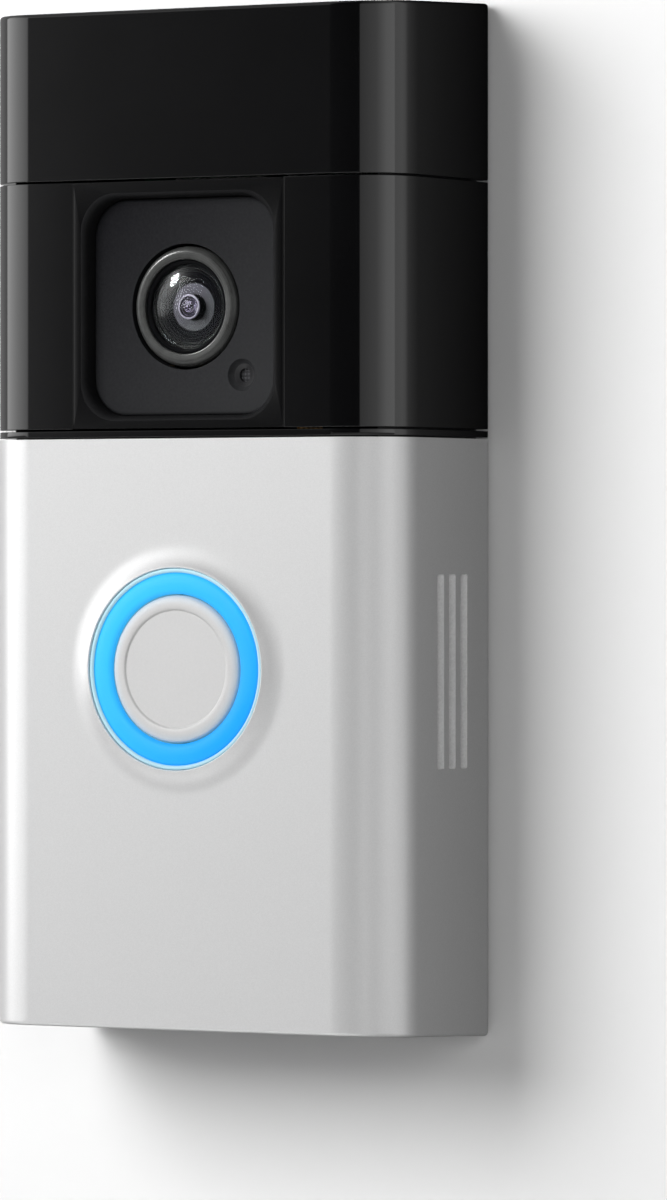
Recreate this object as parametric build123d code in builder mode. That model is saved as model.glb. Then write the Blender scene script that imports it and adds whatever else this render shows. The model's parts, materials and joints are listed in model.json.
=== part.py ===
from build123d import *
import os

os.makedirs("parts", exist_ok=True)

# Video doorbell, millimetres.  +X right seen from the street, +Y into the
# wall, +Z up.  The origin is the middle of the back face, on the wall.

# ------------------------------------------------------------ overall sizes
WIDTH = 60.2            # side to side
DEPTH = 26.5            # wall to flat front face
HEIGHT = 130.0          # at the wall
DRAFT = 1.1             # top and bottom faces fall towards the front by this much
R_CORNER = 8.0          # long front corners, seen from above
R_BACK = 0.8            # long back corners
R_END = 0.5             # rounding round the top and bottom faces
WALL_GAP = 0.3          # the outer shells stop short of the wall

# ------------------------------------------------------------ outer shells
T_TOP = 2.0             # black shells
T_FACE = 1.6            # silver faceplate
Z_COVER = 42.70         # lower edge of the top cover
Z_BAND_HI = 42.45       # camera band
Z_BAND_LO = 11.40
Z_LIP_HI = 11.15        # thin black strip between the two colours
Z_LIP_LO = 10.35
Z_FACE_HI = 10.15       # upper edge of the faceplate

# ------------------------------------------------------------ camera
BEZEL = 15.4            # half width of the bezel insert
WINDOW = 26.7           # square window in the bezel
R_WINDOW = 4.7
Z_WINDOW = 26.7
Y_RIM = -25.5           # window rim, one millimetre behind the face
Y_PLATE = -24.5         # front of the camera plate
Y_WEB = -23.2           # rear of the plate and bezel, front of the band's web
Z_LENS = 26.66
R_PLATE_HOLE = 7.9
R_TRIM = 7.6
R_BARREL = 5.93
R_DOME = 5.3
MIC_X, MIC_Z = 8.2, 18.0

# ------------------------------------------------------------ button
Z_BUTTON = -18.7
R_COLLAR = 15.35        # foot of the raised collar on the faceplate
R_COLLAR_BORE = 12.65
PROUD = 0.9             # height of the collar over the face
R_RING = 12.5           # light ring, outside
R_RING_IN = 9.35
R_CAP = 9.25
TRAVEL = 0.6
Z_SETUP = -41.0

# ------------------------------------------------------------ speaker slots
SLOT_Y = (-7.0, -9.95, -12.85)
SLOT_W = 1.73
SLOT_H = 24.3
Z_SLOT = -19.0

# ------------------------------------------------------------ inside
CH_X = 28.0             # chassis, half width behind the faceplate
CH_IN = 26.5            # inside of its side walls
Z_CH_LO = -62.2
Z_CH_HI = 61.8
Z_SHELF = 7.6           # underside of the shelf over the battery
T_SHELF = 1.5
BAY_X = 21.0            # battery bay, half width
BAY_WALL = 1.4
Y_BAY = -18.9           # front of the bay
T_BAY = 1.1
Y_HOUSING = -2.5        # front of the back housing
Y_REAR = -3.0           # back of the chassis round the electronics
MOUNT_X, MOUNT_Z = 24.0, (4.0, -58.0)
R_MOUNT = 2.1
HOUSING_SCREWS = [(sx * 24.3, z) for sx in (-1, 1) for z in (58.0, 14.0, -44.0)]
BOARD_POSTS = [(sx * 14.5, z) for sx in (-1, 1) for z in (26.5, 56.5)]
CAMERA_POSTS = [(sx * 20.5, z) for sx in (-1, 1) for z in (20.0, 34.5)]
SENSOR_POSTS = [(sx * 22.5, 53.0) for sx in (-1, 1)]


# ------------------------------------------------------------ small helpers
def block(x0, x1, y0, y1, z0, z1, mode=Mode.ADD):
    with Locations(((x0 + x1) / 2, (y0 + y1) / 2, (z0 + z1) / 2)):
        Box(x1 - x0, y1 - y0, z1 - z0, mode=mode)


def rod_y(x, z, r, y0, y1, mode=Mode.ADD):
    with Locations((x, (y0 + y1) / 2, z)):
        Cylinder(r, y1 - y0, rotation=(90, 0, 0), mode=mode)


def rod_z(x, y, r, z0, z1, mode=Mode.ADD):
    with Locations((x, y, (z0 + z1) / 2)):
        Cylinder(r, z1 - z0, mode=mode)


def front(y, x=0.0, z=0.0):
    """Plane facing the street at depth y; local axes are X and Z."""
    return Plane(origin=(x, y, z), x_dir=(1, 0, 0), z_dir=(0, -1, 0))


def turned(x, z, points, mode=Mode.ADD):
    """Profile of (radius, y) points turned about an axis along Y."""
    with BuildSketch(Plane(origin=(x, 0, z), x_dir=(1, 0, 0), z_dir=(0, 0, 1))) as prof:
        with BuildLine():
            Polyline(*points, close=True)
        make_face()
    revolve(prof.sketch, axis=Axis((x, 0, z), (0, 1, 0)), mode=mode)


def dome(r, y_edge, y_apex, steps=10):
    """Points of a shallow spherical face, from its rim to the axis."""
    h = y_edge - y_apex
    big = (r * r + h * h) / (2 * h)
    side = 1 if big > 0 else -1
    centre = y_apex + big
    pts = []
    for i in range(steps + 1):
        x = r * (1 - i / steps)
        pts.append((x, centre - side * (big * big - x * x) ** 0.5))
    return pts


def plan_outline(inset, y_back, r_back, z):
    """Outline seen from above, inset from the sides and the front."""
    w, y_front, r = WIDTH / 2 - inset, -DEPTH + inset, R_CORNER - inset
    with BuildSketch(Plane.XY.offset(z)) as s:
        with BuildLine():
            Polyline((-w, y_back), (-w, y_front), (w, y_front), (w, y_back), close=True)
        make_face()
        fillet(s.vertices().group_by(Axis.Y)[0], r)
        if r_back:
            fillet(s.vertices().group_by(Axis.Y)[-1], r_back)
    return s.sketch


def draft_outline(inset):
    """Outline seen from the side, with the falling top and bottom faces."""
    def z_end(y):
        return HEIGHT / 2 + DRAFT * y / DEPTH - inset
    with BuildSketch(Plane.YZ) as s:
        with BuildLine():
            Polyline((-40, z_end(-40)), (6, z_end(6)), (6, -z_end(6)), (-40, -z_end(-40)), close=True)
        make_face()
    return s.sketch


# ------------------------------------------------------------ construction bodies
with BuildPart() as outer:
    extrude(plan_outline(0, -WALL_GAP, R_BACK, -70), amount=140)
    extrude(draft_outline(0), amount=60, both=True, mode=Mode.INTERSECT)
    fillet(outer.faces().sort_by(Axis.Z)[-1].edges(), R_END)
    fillet(outer.faces().sort_by(Axis.Z)[0].edges(), R_END)

with BuildPart() as inner_top:
    extrude(plan_outline(T_TOP, 4, 0, -70), amount=140)
    extrude(draft_outline(T_TOP), amount=60, both=True, mode=Mode.INTERSECT)

with BuildPart() as inner_face:
    extrude(plan_outline(T_FACE, 4, 0, -70), amount=140)
    extrude(draft_outline(T_FACE), amount=60, both=True, mode=Mode.INTERSECT)

pieces = {}


def keep(builder, name):
    builder.part.label = name
    pieces[name] = builder.part
    export_step(builder.part, "parts/" + name + ".step")


# ============================================================ outer shells
# Gloss black cap over the sensors: a shell open downwards and to the wall.
with BuildPart() as top_cover:
    add(outer.part)
    block(-40, 40, -40, 10, Z_COVER, 80, mode=Mode.INTERSECT)
    add(inner_top.part, mode=Mode.SUBTRACT)
keep(top_cover, "top_cover")

# Gloss black shell round the camera, with a web behind the bezel.
with BuildPart() as camera_band:
    add(outer.part)
    block(-40, 40, -40, 10, Z_BAND_LO, Z_BAND_HI, mode=Mode.INTERSECT)
    add(inner_top.part, mode=Mode.SUBTRACT)
    block(-17.5, 17.5, -24.6, Y_WEB + 1.2, Z_BAND_LO, Z_BAND_HI)
    block(-BEZEL - 0.1, BEZEL + 0.1, -40, Y_WEB, 0, 60, mode=Mode.SUBTRACT)
    block(-12.4, 12.4, -25, -20, 13.9, 39.6, mode=Mode.SUBTRACT)
keep(camera_band, "camera_band")

# Square insert with a flat margin that turns in to a rounded window.
with BuildPart() as camera_bezel:
    block(-BEZEL, BEZEL, -DEPTH, Y_WEB, Z_BAND_LO + 0.05, Z_BAND_HI - 0.05)
    with BuildSketch(front(Y_RIM, z=Z_WINDOW)) as rim:
        RectangleRounded(WINDOW, WINDOW, R_WINDOW)
    with BuildSketch(front(-DEPTH - 0.05, z=Z_WINDOW)) as mouth:
        RectangleRounded(28.75, 28.75, 4.9)
    loft([rim.sketch, mouth.sketch], mode=Mode.SUBTRACT)
    with BuildSketch(front(Y_WEB + 1, z=Z_WINDOW)):
        RectangleRounded(WINDOW, WINDOW, R_WINDOW)
    extrude(amount=6, mode=Mode.SUBTRACT)
keep(camera_bezel, "camera_bezel")

# Flat charcoal plate in the window, with the lens hole and the sound port.
with BuildPart() as camera_plate:
    with BuildSketch(front(Y_WEB, z=Z_WINDOW)):
        RectangleRounded(WINDOW - 0.1, WINDOW - 0.1, R_WINDOW - 0.05)
    extrude(amount=Y_WEB - Y_PLATE)
    fillet(camera_plate.faces().sort_by(Axis.Y)[0].edges(), 0.35)
    rod_y(0, Z_LENS, R_PLATE_HOLE, -26, -22, mode=Mode.SUBTRACT)
    turned(MIC_X, MIC_Z, [(0, -24.6), (2.06, -24.6), (2.0, Y_PLATE), (0.85, -23.7), (0.85, -22.9), (0, -22.9)],
           mode=Mode.SUBTRACT)
keep(camera_plate, "camera_plate")

# ============================================================ camera module
with BuildPart() as lens_trim_ring:
    turned(0, Z_LENS, [(R_BARREL, -25.0), (6.3, -25.35), (6.7, -25.4), (R_TRIM, -24.7), (R_TRIM, -21.4),
                       (R_BARREL, -21.4)])
keep(lens_trim_ring, "lens_trim_ring")

with BuildPart() as lens_barrel:
    turned(0, Z_LENS, [(R_DOME, -24.8), (R_BARREL, -24.8), (R_BARREL, -12.0), (3.6, -12.0), (3.6, -19.0),
                       (2.9, -19.0), (2.9, -20.0), (4.4, -20.0), (4.4, -23.6), (R_DOME, -23.6)])
keep(lens_barrel, "lens_barrel")

with BuildPart() as front_lens:
    turned(0, Z_LENS, [(0, -23.6), (R_DOME, -23.6)] + dome(R_DOME, -24.3, -25.7))
keep(front_lens, "front_lens")

with BuildPart() as second_lens:
    turned(0, Z_LENS, [(0, -22.3), (4.4, -22.3)] + dome(4.4, -22.7, -23.45))
keep(second_lens, "second_lens")

with BuildPart() as aperture_ring:
    turned(0, Z_LENS, [(1.3, -21.6), (2.8, -22.1), (4.4, -22.1), (4.4, -21.2), (1.3, -21.2)])
keep(aperture_ring, "aperture_ring")

with BuildPart() as rear_lens:
    turned(0, Z_LENS, dome(3.6, -18.2, -18.9) + dome(3.6, -16.6, -17.6)[::-1])
keep(rear_lens, "rear_lens")

with BuildPart() as lens_holder:
    block(-8, 8, -15, -10, Z_LENS - 8, Z_LENS + 8)
    chamfer(lens_holder.edges().filter_by(Axis.Y), 1.0)
    rod_y(0, Z_LENS, R_BARREL, -16, -12, mode=Mode.SUBTRACT)
    block(-5, 5, -12.5, -9, Z_LENS - 4.3, Z_LENS + 4.3, mode=Mode.SUBTRACT)
keep(lens_holder, "lens_holder")

with BuildPart() as image_sensor:
    block(-3.4, 3.4, -10.7, -10, Z_LENS - 2.8, Z_LENS + 2.8)
    block(-2.6, 2.6, -11.0, -10.6, Z_LENS - 1.9, Z_LENS + 1.9)
keep(image_sensor, "image_sensor")

with BuildPart() as camera_board:
    block(-22.5, 22.5, -10, -9, 17, 38)
    fillet(camera_board.edges().filter_by(Axis.Y), 1.5)
    for x, z in CAMERA_POSTS:
        rod_y(x, z, 0.9, -11, -8, mode=Mode.SUBTRACT)
keep(camera_board, "camera_board")

# Infra-red lamp board behind the plate, clamped against the band's web.
with BuildPart() as ir_board:
    block(-14, 14, -22.0, -21.2, 12.6, 41.0)
    fillet(ir_board.edges().filter_by(Axis.Y), 1.5)
    rod_y(0, Z_LENS, 8.2, -23, -20, mode=Mode.SUBTRACT)
keep(ir_board, "ir_board")

with BuildPart() as ir_leds:
    for x, z in ((-9.5, 36.2), (9.5, 36.2), (-10.6, 26.66), (10.6, 26.66), (-9.5, 17.2), (0, 37.2)):
        block(x - 1.4, x + 1.4, Y_WEB, -22.0, z - 1.4, z + 1.4)
keep(ir_leds, "ir_leds")

with BuildPart() as microphone:
    block(MIC_X - 1.5, MIC_X + 1.5, -23.0, -22.0, MIC_Z - 1.9, MIC_Z + 1.9)
    rod_y(MIC_X, MIC_Z, 0.3, -23.1, -22.6, mode=Mode.SUBTRACT)
keep(microphone, "microphone")

with BuildPart() as microphone_mesh:
    rod_y(MIC_X, MIC_Z, 1.45, Y_WEB, -23.0)
keep(microphone_mesh, "microphone_mesh")

# ============================================================ motion sensing
with BuildPart() as motion_sensors:
    for x in (-10, 10):
        rod_y(x, 53, 4.6, -22.9, -19.0)
        rod_y(x, 53, 5.2, -19.8, -19.0)
        block(x - 2, x + 2, -23.1, -22.5, 51.5, 54.5)
keep(motion_sensors, "motion_sensors")

with BuildPart() as sensor_board:
    block(-25, 25, -19.0, -18.0, 47.5, 59)
    fillet(sensor_board.edges().filter_by(Axis.Y), 1.5)
    for x, z in SENSOR_POSTS:
        rod_y(x, z, 0.9, -20, -17, mode=Mode.SUBTRACT)
keep(sensor_board, "sensor_board")

with BuildPart() as sensor_lens_insert:
    block(-18, 18, -DEPTH + T_TOP, -23.9, 47, 59)
    fillet(sensor_lens_insert.edges().filter_by(Axis.Y), 2.0)
keep(sensor_lens_insert, "sensor_lens_insert")

# ============================================================ chassis
with BuildPart() as chassis:
    # lower body, behind the faceplate
    extrude(plan_outline(T_FACE + 0.5, Y_HOUSING, 0, Z_CH_LO), amount=Z_LIP_LO - Z_CH_LO)
    # upper body, inside the black shells
    extrude(plan_outline(T_TOP, Y_REAR, 0, Z_LIP_LO), amount=Z_CH_HI - Z_LIP_LO)
    block(-WIDTH / 2 + T_TOP, WIDTH / 2 - T_TOP, Y_REAR, 1, Z_SHELF, 70, mode=Mode.SUBTRACT)
    # electronics bay, open to the street
    block(-26.6, 26.6, -22.8, Y_REAR - 1.5, Z_SHELF + T_SHELF, Z_CH_HI - 1.5, mode=Mode.SUBTRACT)
    block(-26.6, 26.6, -40, -22.0, Z_LIP_HI, Z_CH_HI - 1.5, mode=Mode.SUBTRACT)
    # space in front of the battery bay, and the cells beside it
    block(-CH_IN, CH_IN, -22.9, Y_BAY - T_BAY, Z_CH_LO + 1.5, Z_SHELF, mode=Mode.SUBTRACT)
    for s in (-1, 1):
        x0, x1 = sorted((s * (BAY_X + BAY_WALL), s * CH_IN))
        block(x0, x1, Y_BAY - T_BAY - 0.1, 1, Z_CH_LO + 1.5, Z_SHELF, mode=Mode.SUBTRACT)
        # columns for the wall screws
        for z in MOUNT_Z:
            rod_y(s * MOUNT_X, z, 3.4, -20.9, Y_HOUSING)
    # columns for the housing screws
    for x, z in HOUSING_SCREWS:
        rod_y(x, z, 2.3, -12, Y_REAR if z > Z_SHELF else Y_HOUSING)
    # posts for the boards
    for x, z in BOARD_POSTS:
        rod_y(x, z, 2.0, -6.0, -4.4)
    for x, z in CAMERA_POSTS:
        rod_y(x, z, 2.2, -9.0, -4.4)
    for x, z in SENSOR_POSTS:
        rod_y(x, z, 2.2, -18.0, -4.4)
    # battery bay, open downwards and to the housing
    block(-BAY_X, BAY_X, Y_BAY, 1, -70, Z_SHELF, mode=Mode.SUBTRACT)
    block(-4.2, 4.2, Y_BAY - 0.7, Y_BAY + 1, -70, -58.3, mode=Mode.SUBTRACT)
    # way for the wall screws: driver hole from the front, then the shank hole
    for s in (-1, 1):
        for z in MOUNT_Z:
            rod_y(s * MOUNT_X, z, 2.9, -30, -4.5, mode=Mode.SUBTRACT)
            rod_y(s * MOUNT_X, z, R_MOUNT, -6, 1, mode=Mode.SUBTRACT)
    for x, z in HOUSING_SCREWS:
        rod_y(x, z, 0.9, -10.0, 1, mode=Mode.SUBTRACT)
    for x, z in BOARD_POSTS:
        rod_y(x, z, 0.8, -7, -4.0, mode=Mode.SUBTRACT)
    for x, z in CAMERA_POSTS:
        rod_y(x, z, 0.8, -10, -6.0, mode=Mode.SUBTRACT)
    for x, z in SENSOR_POSTS:
        rod_y(x, z, 0.8, -19, -14.0, mode=Mode.SUBTRACT)
    # openings in the front wall
    rod_y(0, Z_BUTTON, R_RING + 0.1, -30, -22.5, mode=Mode.SUBTRACT)
    rod_y(0, Z_SETUP, 2.0, -30, -22.5, mode=Mode.SUBTRACT)
    # notch, open to the front, that the security screw drops into
    block(-1.7, 1.7, -30, -21.2, -70, -57.8, mode=Mode.SUBTRACT)
    # sound window, cable slot, wiring pocket and battery contacts
    block(20, 40, -14.0, -6.0, Z_SLOT - 13, Z_SLOT + 13, mode=Mode.SUBTRACT)
    block(20, BAY_X + BAY_WALL, -14.0, -6.0, Z_SLOT - 13, Z_SLOT + 13)
    block(13.9, 18.1, -21.3, -20.6, Z_SHELF - 1, Z_SHELF + T_SHELF + 0.2, mode=Mode.SUBTRACT)
    block(-13.6, 13.6, -4.6, 1, 9.2, 22.8, mode=Mode.SUBTRACT)
    block(-6, 6, -14.5, -9.0, Z_SHELF - 1, Z_SHELF + T_SHELF + 1, mode=Mode.SUBTRACT)
    block(-BAY_X, BAY_X, Y_BAY, 1, -70, Z_SHELF, mode=Mode.SUBTRACT)
keep(chassis, "chassis")

# Gloss strip that closes the joint between the black head and the faceplate.
with BuildPart() as divider_strip:
    extrude(plan_outline(0, -WALL_GAP, R_BACK, Z_LIP_LO), amount=Z_LIP_HI - Z_LIP_LO)
    extrude(plan_outline(T_TOP, 4, 0, Z_LIP_LO - 1), amount=5, mode=Mode.SUBTRACT)
keep(divider_strip, "divider_strip")

# Flat back with the wiring pocket, screwed to the chassis.
with BuildPart() as back_housing:
    block(-27.9, 27.9, Y_HOUSING, 0, Z_CH_LO, 62.6)
    fillet(back_housing.edges().filter_by(Axis.Y), 1.6)
    block(-13.5, 13.5, -8.0, Y_HOUSING, 9.3, 22.7)
    block(-12, 12, -6.6, 1, 10.8, 21.2, mode=Mode.SUBTRACT)
    for s in (-1, 1):
        for z in MOUNT_Z:
            rod_y(s * MOUNT_X, z, R_MOUNT, -4, 1, mode=Mode.SUBTRACT)
        rod_y(s * 6, 16, 1.2, -7.6, -6, mode=Mode.SUBTRACT)
    for x, z in HOUSING_SCREWS:
        rod_y(x, z, 1.1, -4, 1, mode=Mode.SUBTRACT)
        rod_y(x, z, 2.3, -1.5, 1, mode=Mode.SUBTRACT)
    # shallow relief that keeps a rough wall off the middle of the plate
    for z in (-50, -36, -22, 36, 50):
        block(-18, 18, -0.4, 1, z - 4.5, z + 4.5, mode=Mode.SUBTRACT)
keep(back_housing, "back_housing")

with BuildPart() as housing_gasket:
    block(-27.9, 27.9, Y_REAR, Y_HOUSING, Z_SHELF, Z_CH_HI)
    block(-26.6, 26.6, -4, 0, Z_SHELF + T_SHELF, Z_CH_HI - 1.5, mode=Mode.SUBTRACT)
keep(housing_gasket, "housing_gasket")

with BuildPart() as housing_screws:
    for x, z in HOUSING_SCREWS:
        turned(x, z, [(0, -9.9), (0.9, -9.5), (0.9, -1.5), (2.0, -1.5), (2.0, -0.8), (1.5, -0.3), (0, -0.3)])
        block(x - 1.2, x + 1.2, -0.8, 0, z - 0.25, z + 0.25, mode=Mode.SUBTRACT)
        block(x - 0.25, x + 0.25, -0.8, 0, z - 1.2, z + 1.2, mode=Mode.SUBTRACT)
keep(housing_screws, "housing_screws")

with BuildPart() as terminal_plates:
    for s in (-1, 1):
        block(s * 6 - 3.6, s * 6 + 3.6, -6.6, -6.1, 12.4, 19.6)
        rod_y(s * 6, 16, 1.2, -7, -5, mode=Mode.SUBTRACT)
keep(terminal_plates, "terminal_plates")

with BuildPart() as terminal_screws:
    for s in (-1, 1):
        turned(s * 6, 16, [(0, -7.6), (1.2, -7.6), (1.2, -6.1), (2.8, -6.1), (2.8, -5.4), (2.4, -5.05), (0, -5.05)])
        block(s * 6 - 3, s * 6 + 3, -5.6, -4.9, 15.65, 16.35, mode=Mode.SUBTRACT)
keep(terminal_screws, "terminal_screws")

# ============================================================ main electronics
with BuildPart() as main_board:
    block(-17, 17, -7.2, -6.0, 24, 59)
    fillet(main_board.edges().filter_by(Axis.Y), 1.5)
    for x, z in BOARD_POSTS:
        rod_y(x, z, 0.9, -8, -5, mode=Mode.SUBTRACT)
keep(main_board, "main_board")

with BuildPart() as shield_can:
    block(-11, 3, -9.4, -7.2, 42, 56)
    fillet(shield_can.faces().sort_by(Axis.Y)[0].edges(), 0.4)
keep(shield_can, "shield_can")

with BuildPart() as wifi_module:
    block(5, 16, -8.0, -7.2, 41, 53)
    block(5.8, 15.2, -9.0, -8.0, 43.8, 52.2)
keep(wifi_module, "wifi_module")

with BuildPart() as board_connector:
    block(-5, 5, -9.0, -7.2, 30, 33)
keep(board_connector, "board_connector")

with BuildPart() as board_screws:
    for x, z in BOARD_POSTS:
        turned(x, z, [(0, -8.2), (1.3, -8.2), (1.7, -7.8), (1.7, -7.2), (0.8, -7.2), (0.8, -4.2), (0, -4.2)])
    for x, z in CAMERA_POSTS:
        turned(x, z, [(0, -11.0), (1.3, -11.0), (1.7, -10.6), (1.7, -10.0), (0.8, -10.0), (0.8, -7.0), (0, -7.0)])
    for x, z in SENSOR_POSTS:
        turned(x, z, [(0, -20.0), (1.3, -20.0), (1.7, -19.6), (1.7, -19.0), (0.8, -19.0), (0.8, -16.0), (0, -16.0)])
keep(board_screws, "board_screws")

with BuildPart() as wifi_antenna:
    block(-15, 15, -16, -8, Z_CH_HI - 1.8, Z_CH_HI - 1.5)
keep(wifi_antenna, "wifi_antenna")

# Flat cable from the button board, through the shelf, to the main board.
with BuildPart() as button_ribbon:
    block(14.2, 17.8, -21.1, -20.8, -8, 12.5)
    block(14.2, 17.8, -21.1, -7.2, 12.2, 12.5)
    block(14.2, 17.0, -7.5, -7.2, 12.2, 24.7)
keep(button_ribbon, "button_ribbon")

with BuildPart() as contact_block:
    block(-6, 6, -14.5, -9.0, Z_SHELF, 12)
    for x in (-3.5, 0, 3.5):
        rod_z(x, -11.75, 0.6, 5, 15, mode=Mode.SUBTRACT)
keep(contact_block, "contact_block")

with BuildPart() as contact_pins:
    for x in (-3.5, 0, 3.5):
        rod_z(x, -11.75, 0.6, 7.25, 12.0)
        rod_z(x, -11.75, 1.0, 12.0, 12.15)
keep(contact_pins, "contact_pins")

# ============================================================ speaker
with BuildPart() as speaker_frame:
    block(22.6, 26.3, -15.5, -4.5, Z_SLOT - 15, Z_SLOT + 15)
    fillet(speaker_frame.edges().filter_by(Axis.X), 1.5)
    block(23.6, 27, -14.5, -5.5, Z_SLOT - 14, Z_SLOT + 14, mode=Mode.SUBTRACT)
keep(speaker_frame, "speaker_frame")

with BuildPart() as speaker_cone:
    block(25.5, 25.8, -14.5, -5.5, Z_SLOT - 14, Z_SLOT + 14)
    with BuildSketch(Plane.YZ.offset(25.8)):
        with Locations((-10.0, Z_SLOT)):
            SlotOverall(24, 6, rotation=90)
    extrude(amount=0.4, taper=25)
keep(speaker_cone, "speaker_cone")

with BuildPart() as speaker_magnet:
    block(23.6, 25.1, -12.5, -7.5, Z_SLOT - 8, Z_SLOT + 8)
keep(speaker_magnet, "speaker_magnet")

with BuildPart() as speaker_gasket:
    block(26.3, 26.5, -15.5, -4.5, Z_SLOT - 15, Z_SLOT + 15)
    block(26, 27, -14.4, -5.6, Z_SLOT - 13.6, Z_SLOT + 13.6, mode=Mode.SUBTRACT)
keep(speaker_gasket, "speaker_gasket")

# ============================================================ button board and light
with BuildPart() as button_board:
    block(-18, 18, -20.8, Y_BAY - T_BAY, -46, -4.5)
    fillet(button_board.edges().filter_by(Axis.Y), 2.5)
keep(button_board, "button_board")

with BuildPart() as ring_leds:
    with Locations(Location((0, -21.15, Z_BUTTON), (90, 0, 0))):
        with PolarLocations(11.0, 12):
            Box(1.6, 1.6, 0.7)
keep(ring_leds, "ring_leds")

with BuildPart() as tact_switches:
    for z in (Z_BUTTON, Z_SETUP):
        block(-2.25, 2.25, -21.5, -20.8, z - 2.25, z + 2.25)
        rod_y(0, z, 1.1, -21.8, -21.5)
keep(tact_switches, "tact_switches")

with BuildPart() as light_ring:
    turned(0, Z_BUTTON, [(R_RING_IN, -27.05), (9.7, -27.3), (10.3, -27.4), (11.2, -27.35), (11.7, -27.15),
                         (11.94, -26.95), (12.1, -27.1), (R_RING, -27.1), (R_RING, -22.5), (14.2, -22.5),
                         (14.2, -21.9), (10.3, -21.9), (10.3, -23.9), (R_RING_IN, -23.9)])
keep(light_ring, "light_ring")

with BuildPart() as button_gasket:
    turned(0, Z_BUTTON, [(12.6, -22.9), (14.2, -22.9), (14.2, -22.5), (12.6, -22.5)])
keep(button_gasket, "button_gasket")

with BuildPart() as return_spring:
    turned(0, Z_BUTTON, [(7.3, -20.8), (7.7, -20.8), (4.4, -24.3), (4.0, -24.3)])
    with Locations(Location((0, -22.5, Z_BUTTON), (90, 0, 0))):
        with PolarLocations(6.0, 6):
            Box(2.4, 1.2, 1.6, mode=Mode.SUBTRACT)
keep(return_spring, "return_spring")

# ============================================================ the push button
with BuildPart() as button_cap:
    turned(0, Z_BUTTON, [(0, -26.85), (7.3, -26.85), (7.5, -27.1), (8.8, -27.1), (9.15, -26.95), (R_CAP, -26.6),
                         (R_CAP, -25.3), (0, -25.3)])
keep(button_cap, "button_cap")

with BuildPart() as button_carrier:
    turned(0, Z_BUTTON, [(0, -25.3), (9.1, -25.3), (9.1, -23.75), (10.1, -23.75), (10.1, -23.0), (8.2, -23.0),
                         (8.2, -24.3), (1.5, -24.3), (1.5, -22.55), (0, -22.55)])
keep(button_carrier, "button_carrier")

with BuildPart() as setup_button:
    rod_y(0, Z_SETUP, 1.8, -24.6, -22.2)
    rod_y(0, Z_SETUP, 2.8, -22.7, -22.2)
    fillet(setup_button.faces().sort_by(Axis.Y)[0].edges(), 0.3)
keep(setup_button, "setup_button")

# ============================================================ faceplate
with BuildPart() as faceplate:
    add(outer.part)
    block(-40, 40, -40, 10, -80, Z_FACE_HI, mode=Mode.INTERSECT)
    # collar round the button
    turned(0, Z_BUTTON, [(12.0, -26.3), (R_COLLAR, -26.3), (R_COLLAR, -DEPTH), (14.5, -26.75), (13.4, -27.25),
                         (12.95, -DEPTH - PROUD), (12.0, -DEPTH - PROUD)])
    add(inner_face.part, mode=Mode.SUBTRACT)
    # the floor is only a flange at the front; the battery closes the rest
    block(-WIDTH / 2 + T_FACE, WIDTH / 2 - T_FACE, -19.8, 5, -80, -50, mode=Mode.SUBTRACT)
    rod_y(0, Z_BUTTON, R_COLLAR_BORE, -30, -20, mode=Mode.SUBTRACT)
    # sound slots in the right-hand side
    for y in SLOT_Y:
        with BuildSketch(Plane(origin=(26, y, Z_SLOT), x_dir=(0, 1, 0), z_dir=(1, 0, 0))):
            RectangleRounded(SLOT_W, SLOT_H, 0.3)
        extrude(amount=8, mode=Mode.SUBTRACT)
    # seat for the security screw
    rod_z(0, -23.0, 2.65, -70, -63.05, mode=Mode.SUBTRACT)
    rod_z(0, -23.0, 1.45, -70, -60, mode=Mode.SUBTRACT)
keep(faceplate, "faceplate")

with BuildPart() as speaker_mesh:
    block(28.3, 28.5, -15.2, -4.6, Z_SLOT - 14, Z_SLOT + 14)
keep(speaker_mesh, "speaker_mesh")

with BuildPart() as security_screw:
    rod_z(0, -23.0, 1.25, -63.05, -58.5)
    rod_z(0, -23.0, 2.4, -63.95, -63.05)
    chamfer(security_screw.faces().sort_by(Axis.Z)[-1].edges(), 0.4)
    fillet(security_screw.faces().sort_by(Axis.Z)[0].edges(), 0.3)
    with BuildSketch(Plane.XY.offset(-64)):
        with Locations((0, -23.0)):
            Circle(0.95)
            with PolarLocations(0.95, 6):
                Circle(0.3)
    extrude(amount=0.75, mode=Mode.SUBTRACT)
keep(security_screw, "security_screw")

# ============================================================ battery pack
with BuildPart() as battery_case:
    block(-20.5, 20.5, -18.6, -3.0, -62.5, 7.0)
    fillet(battery_case.edges().filter_by(Axis.Z), 1.5)
    block(-19.3, 19.3, -17.4, -4.2, -52.0, 5.8, mode=Mode.SUBTRACT)
    # pocket for the release tab and its spring
    block(-5.4, 5.4, -19, -12.6, -63, -57.6, mode=Mode.SUBTRACT)
    block(-2.4, 2.4, -13, -11.0, -63, -58.2, mode=Mode.SUBTRACT)
    # charging port and the three contact pads
    block(8.0, 17.0, -19, -12.5, -58.1, -54.9, mode=Mode.SUBTRACT)
    for x in (-3.5, 0, 3.5):
        block(x - 1.1, x + 1.1, -13.2, -10.3, 6.2, 8, mode=Mode.SUBTRACT)
keep(battery_case, "battery_case")

with BuildPart() as battery_cells:
    for s in (-1, 1):
        with Locations((s * 9.75, -11.6, -23.0)):
            Box(18.7, 10.8, 55.0)
    fillet(battery_cells.edges().filter_by(Axis.Z), 1.6)
keep(battery_cells, "battery_cells")

with BuildPart() as battery_board:
    block(-18.5, 18.5, -16.5, -5.0, -52.0, -51.0)
keep(battery_board, "battery_board")

with BuildPart() as battery_terminals:
    for x in (-3.5, 0, 3.5):
        block(x - 1.1, x + 1.1, -13.2, -10.3, 6.2, 7.0)
keep(battery_terminals, "battery_terminals")

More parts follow.
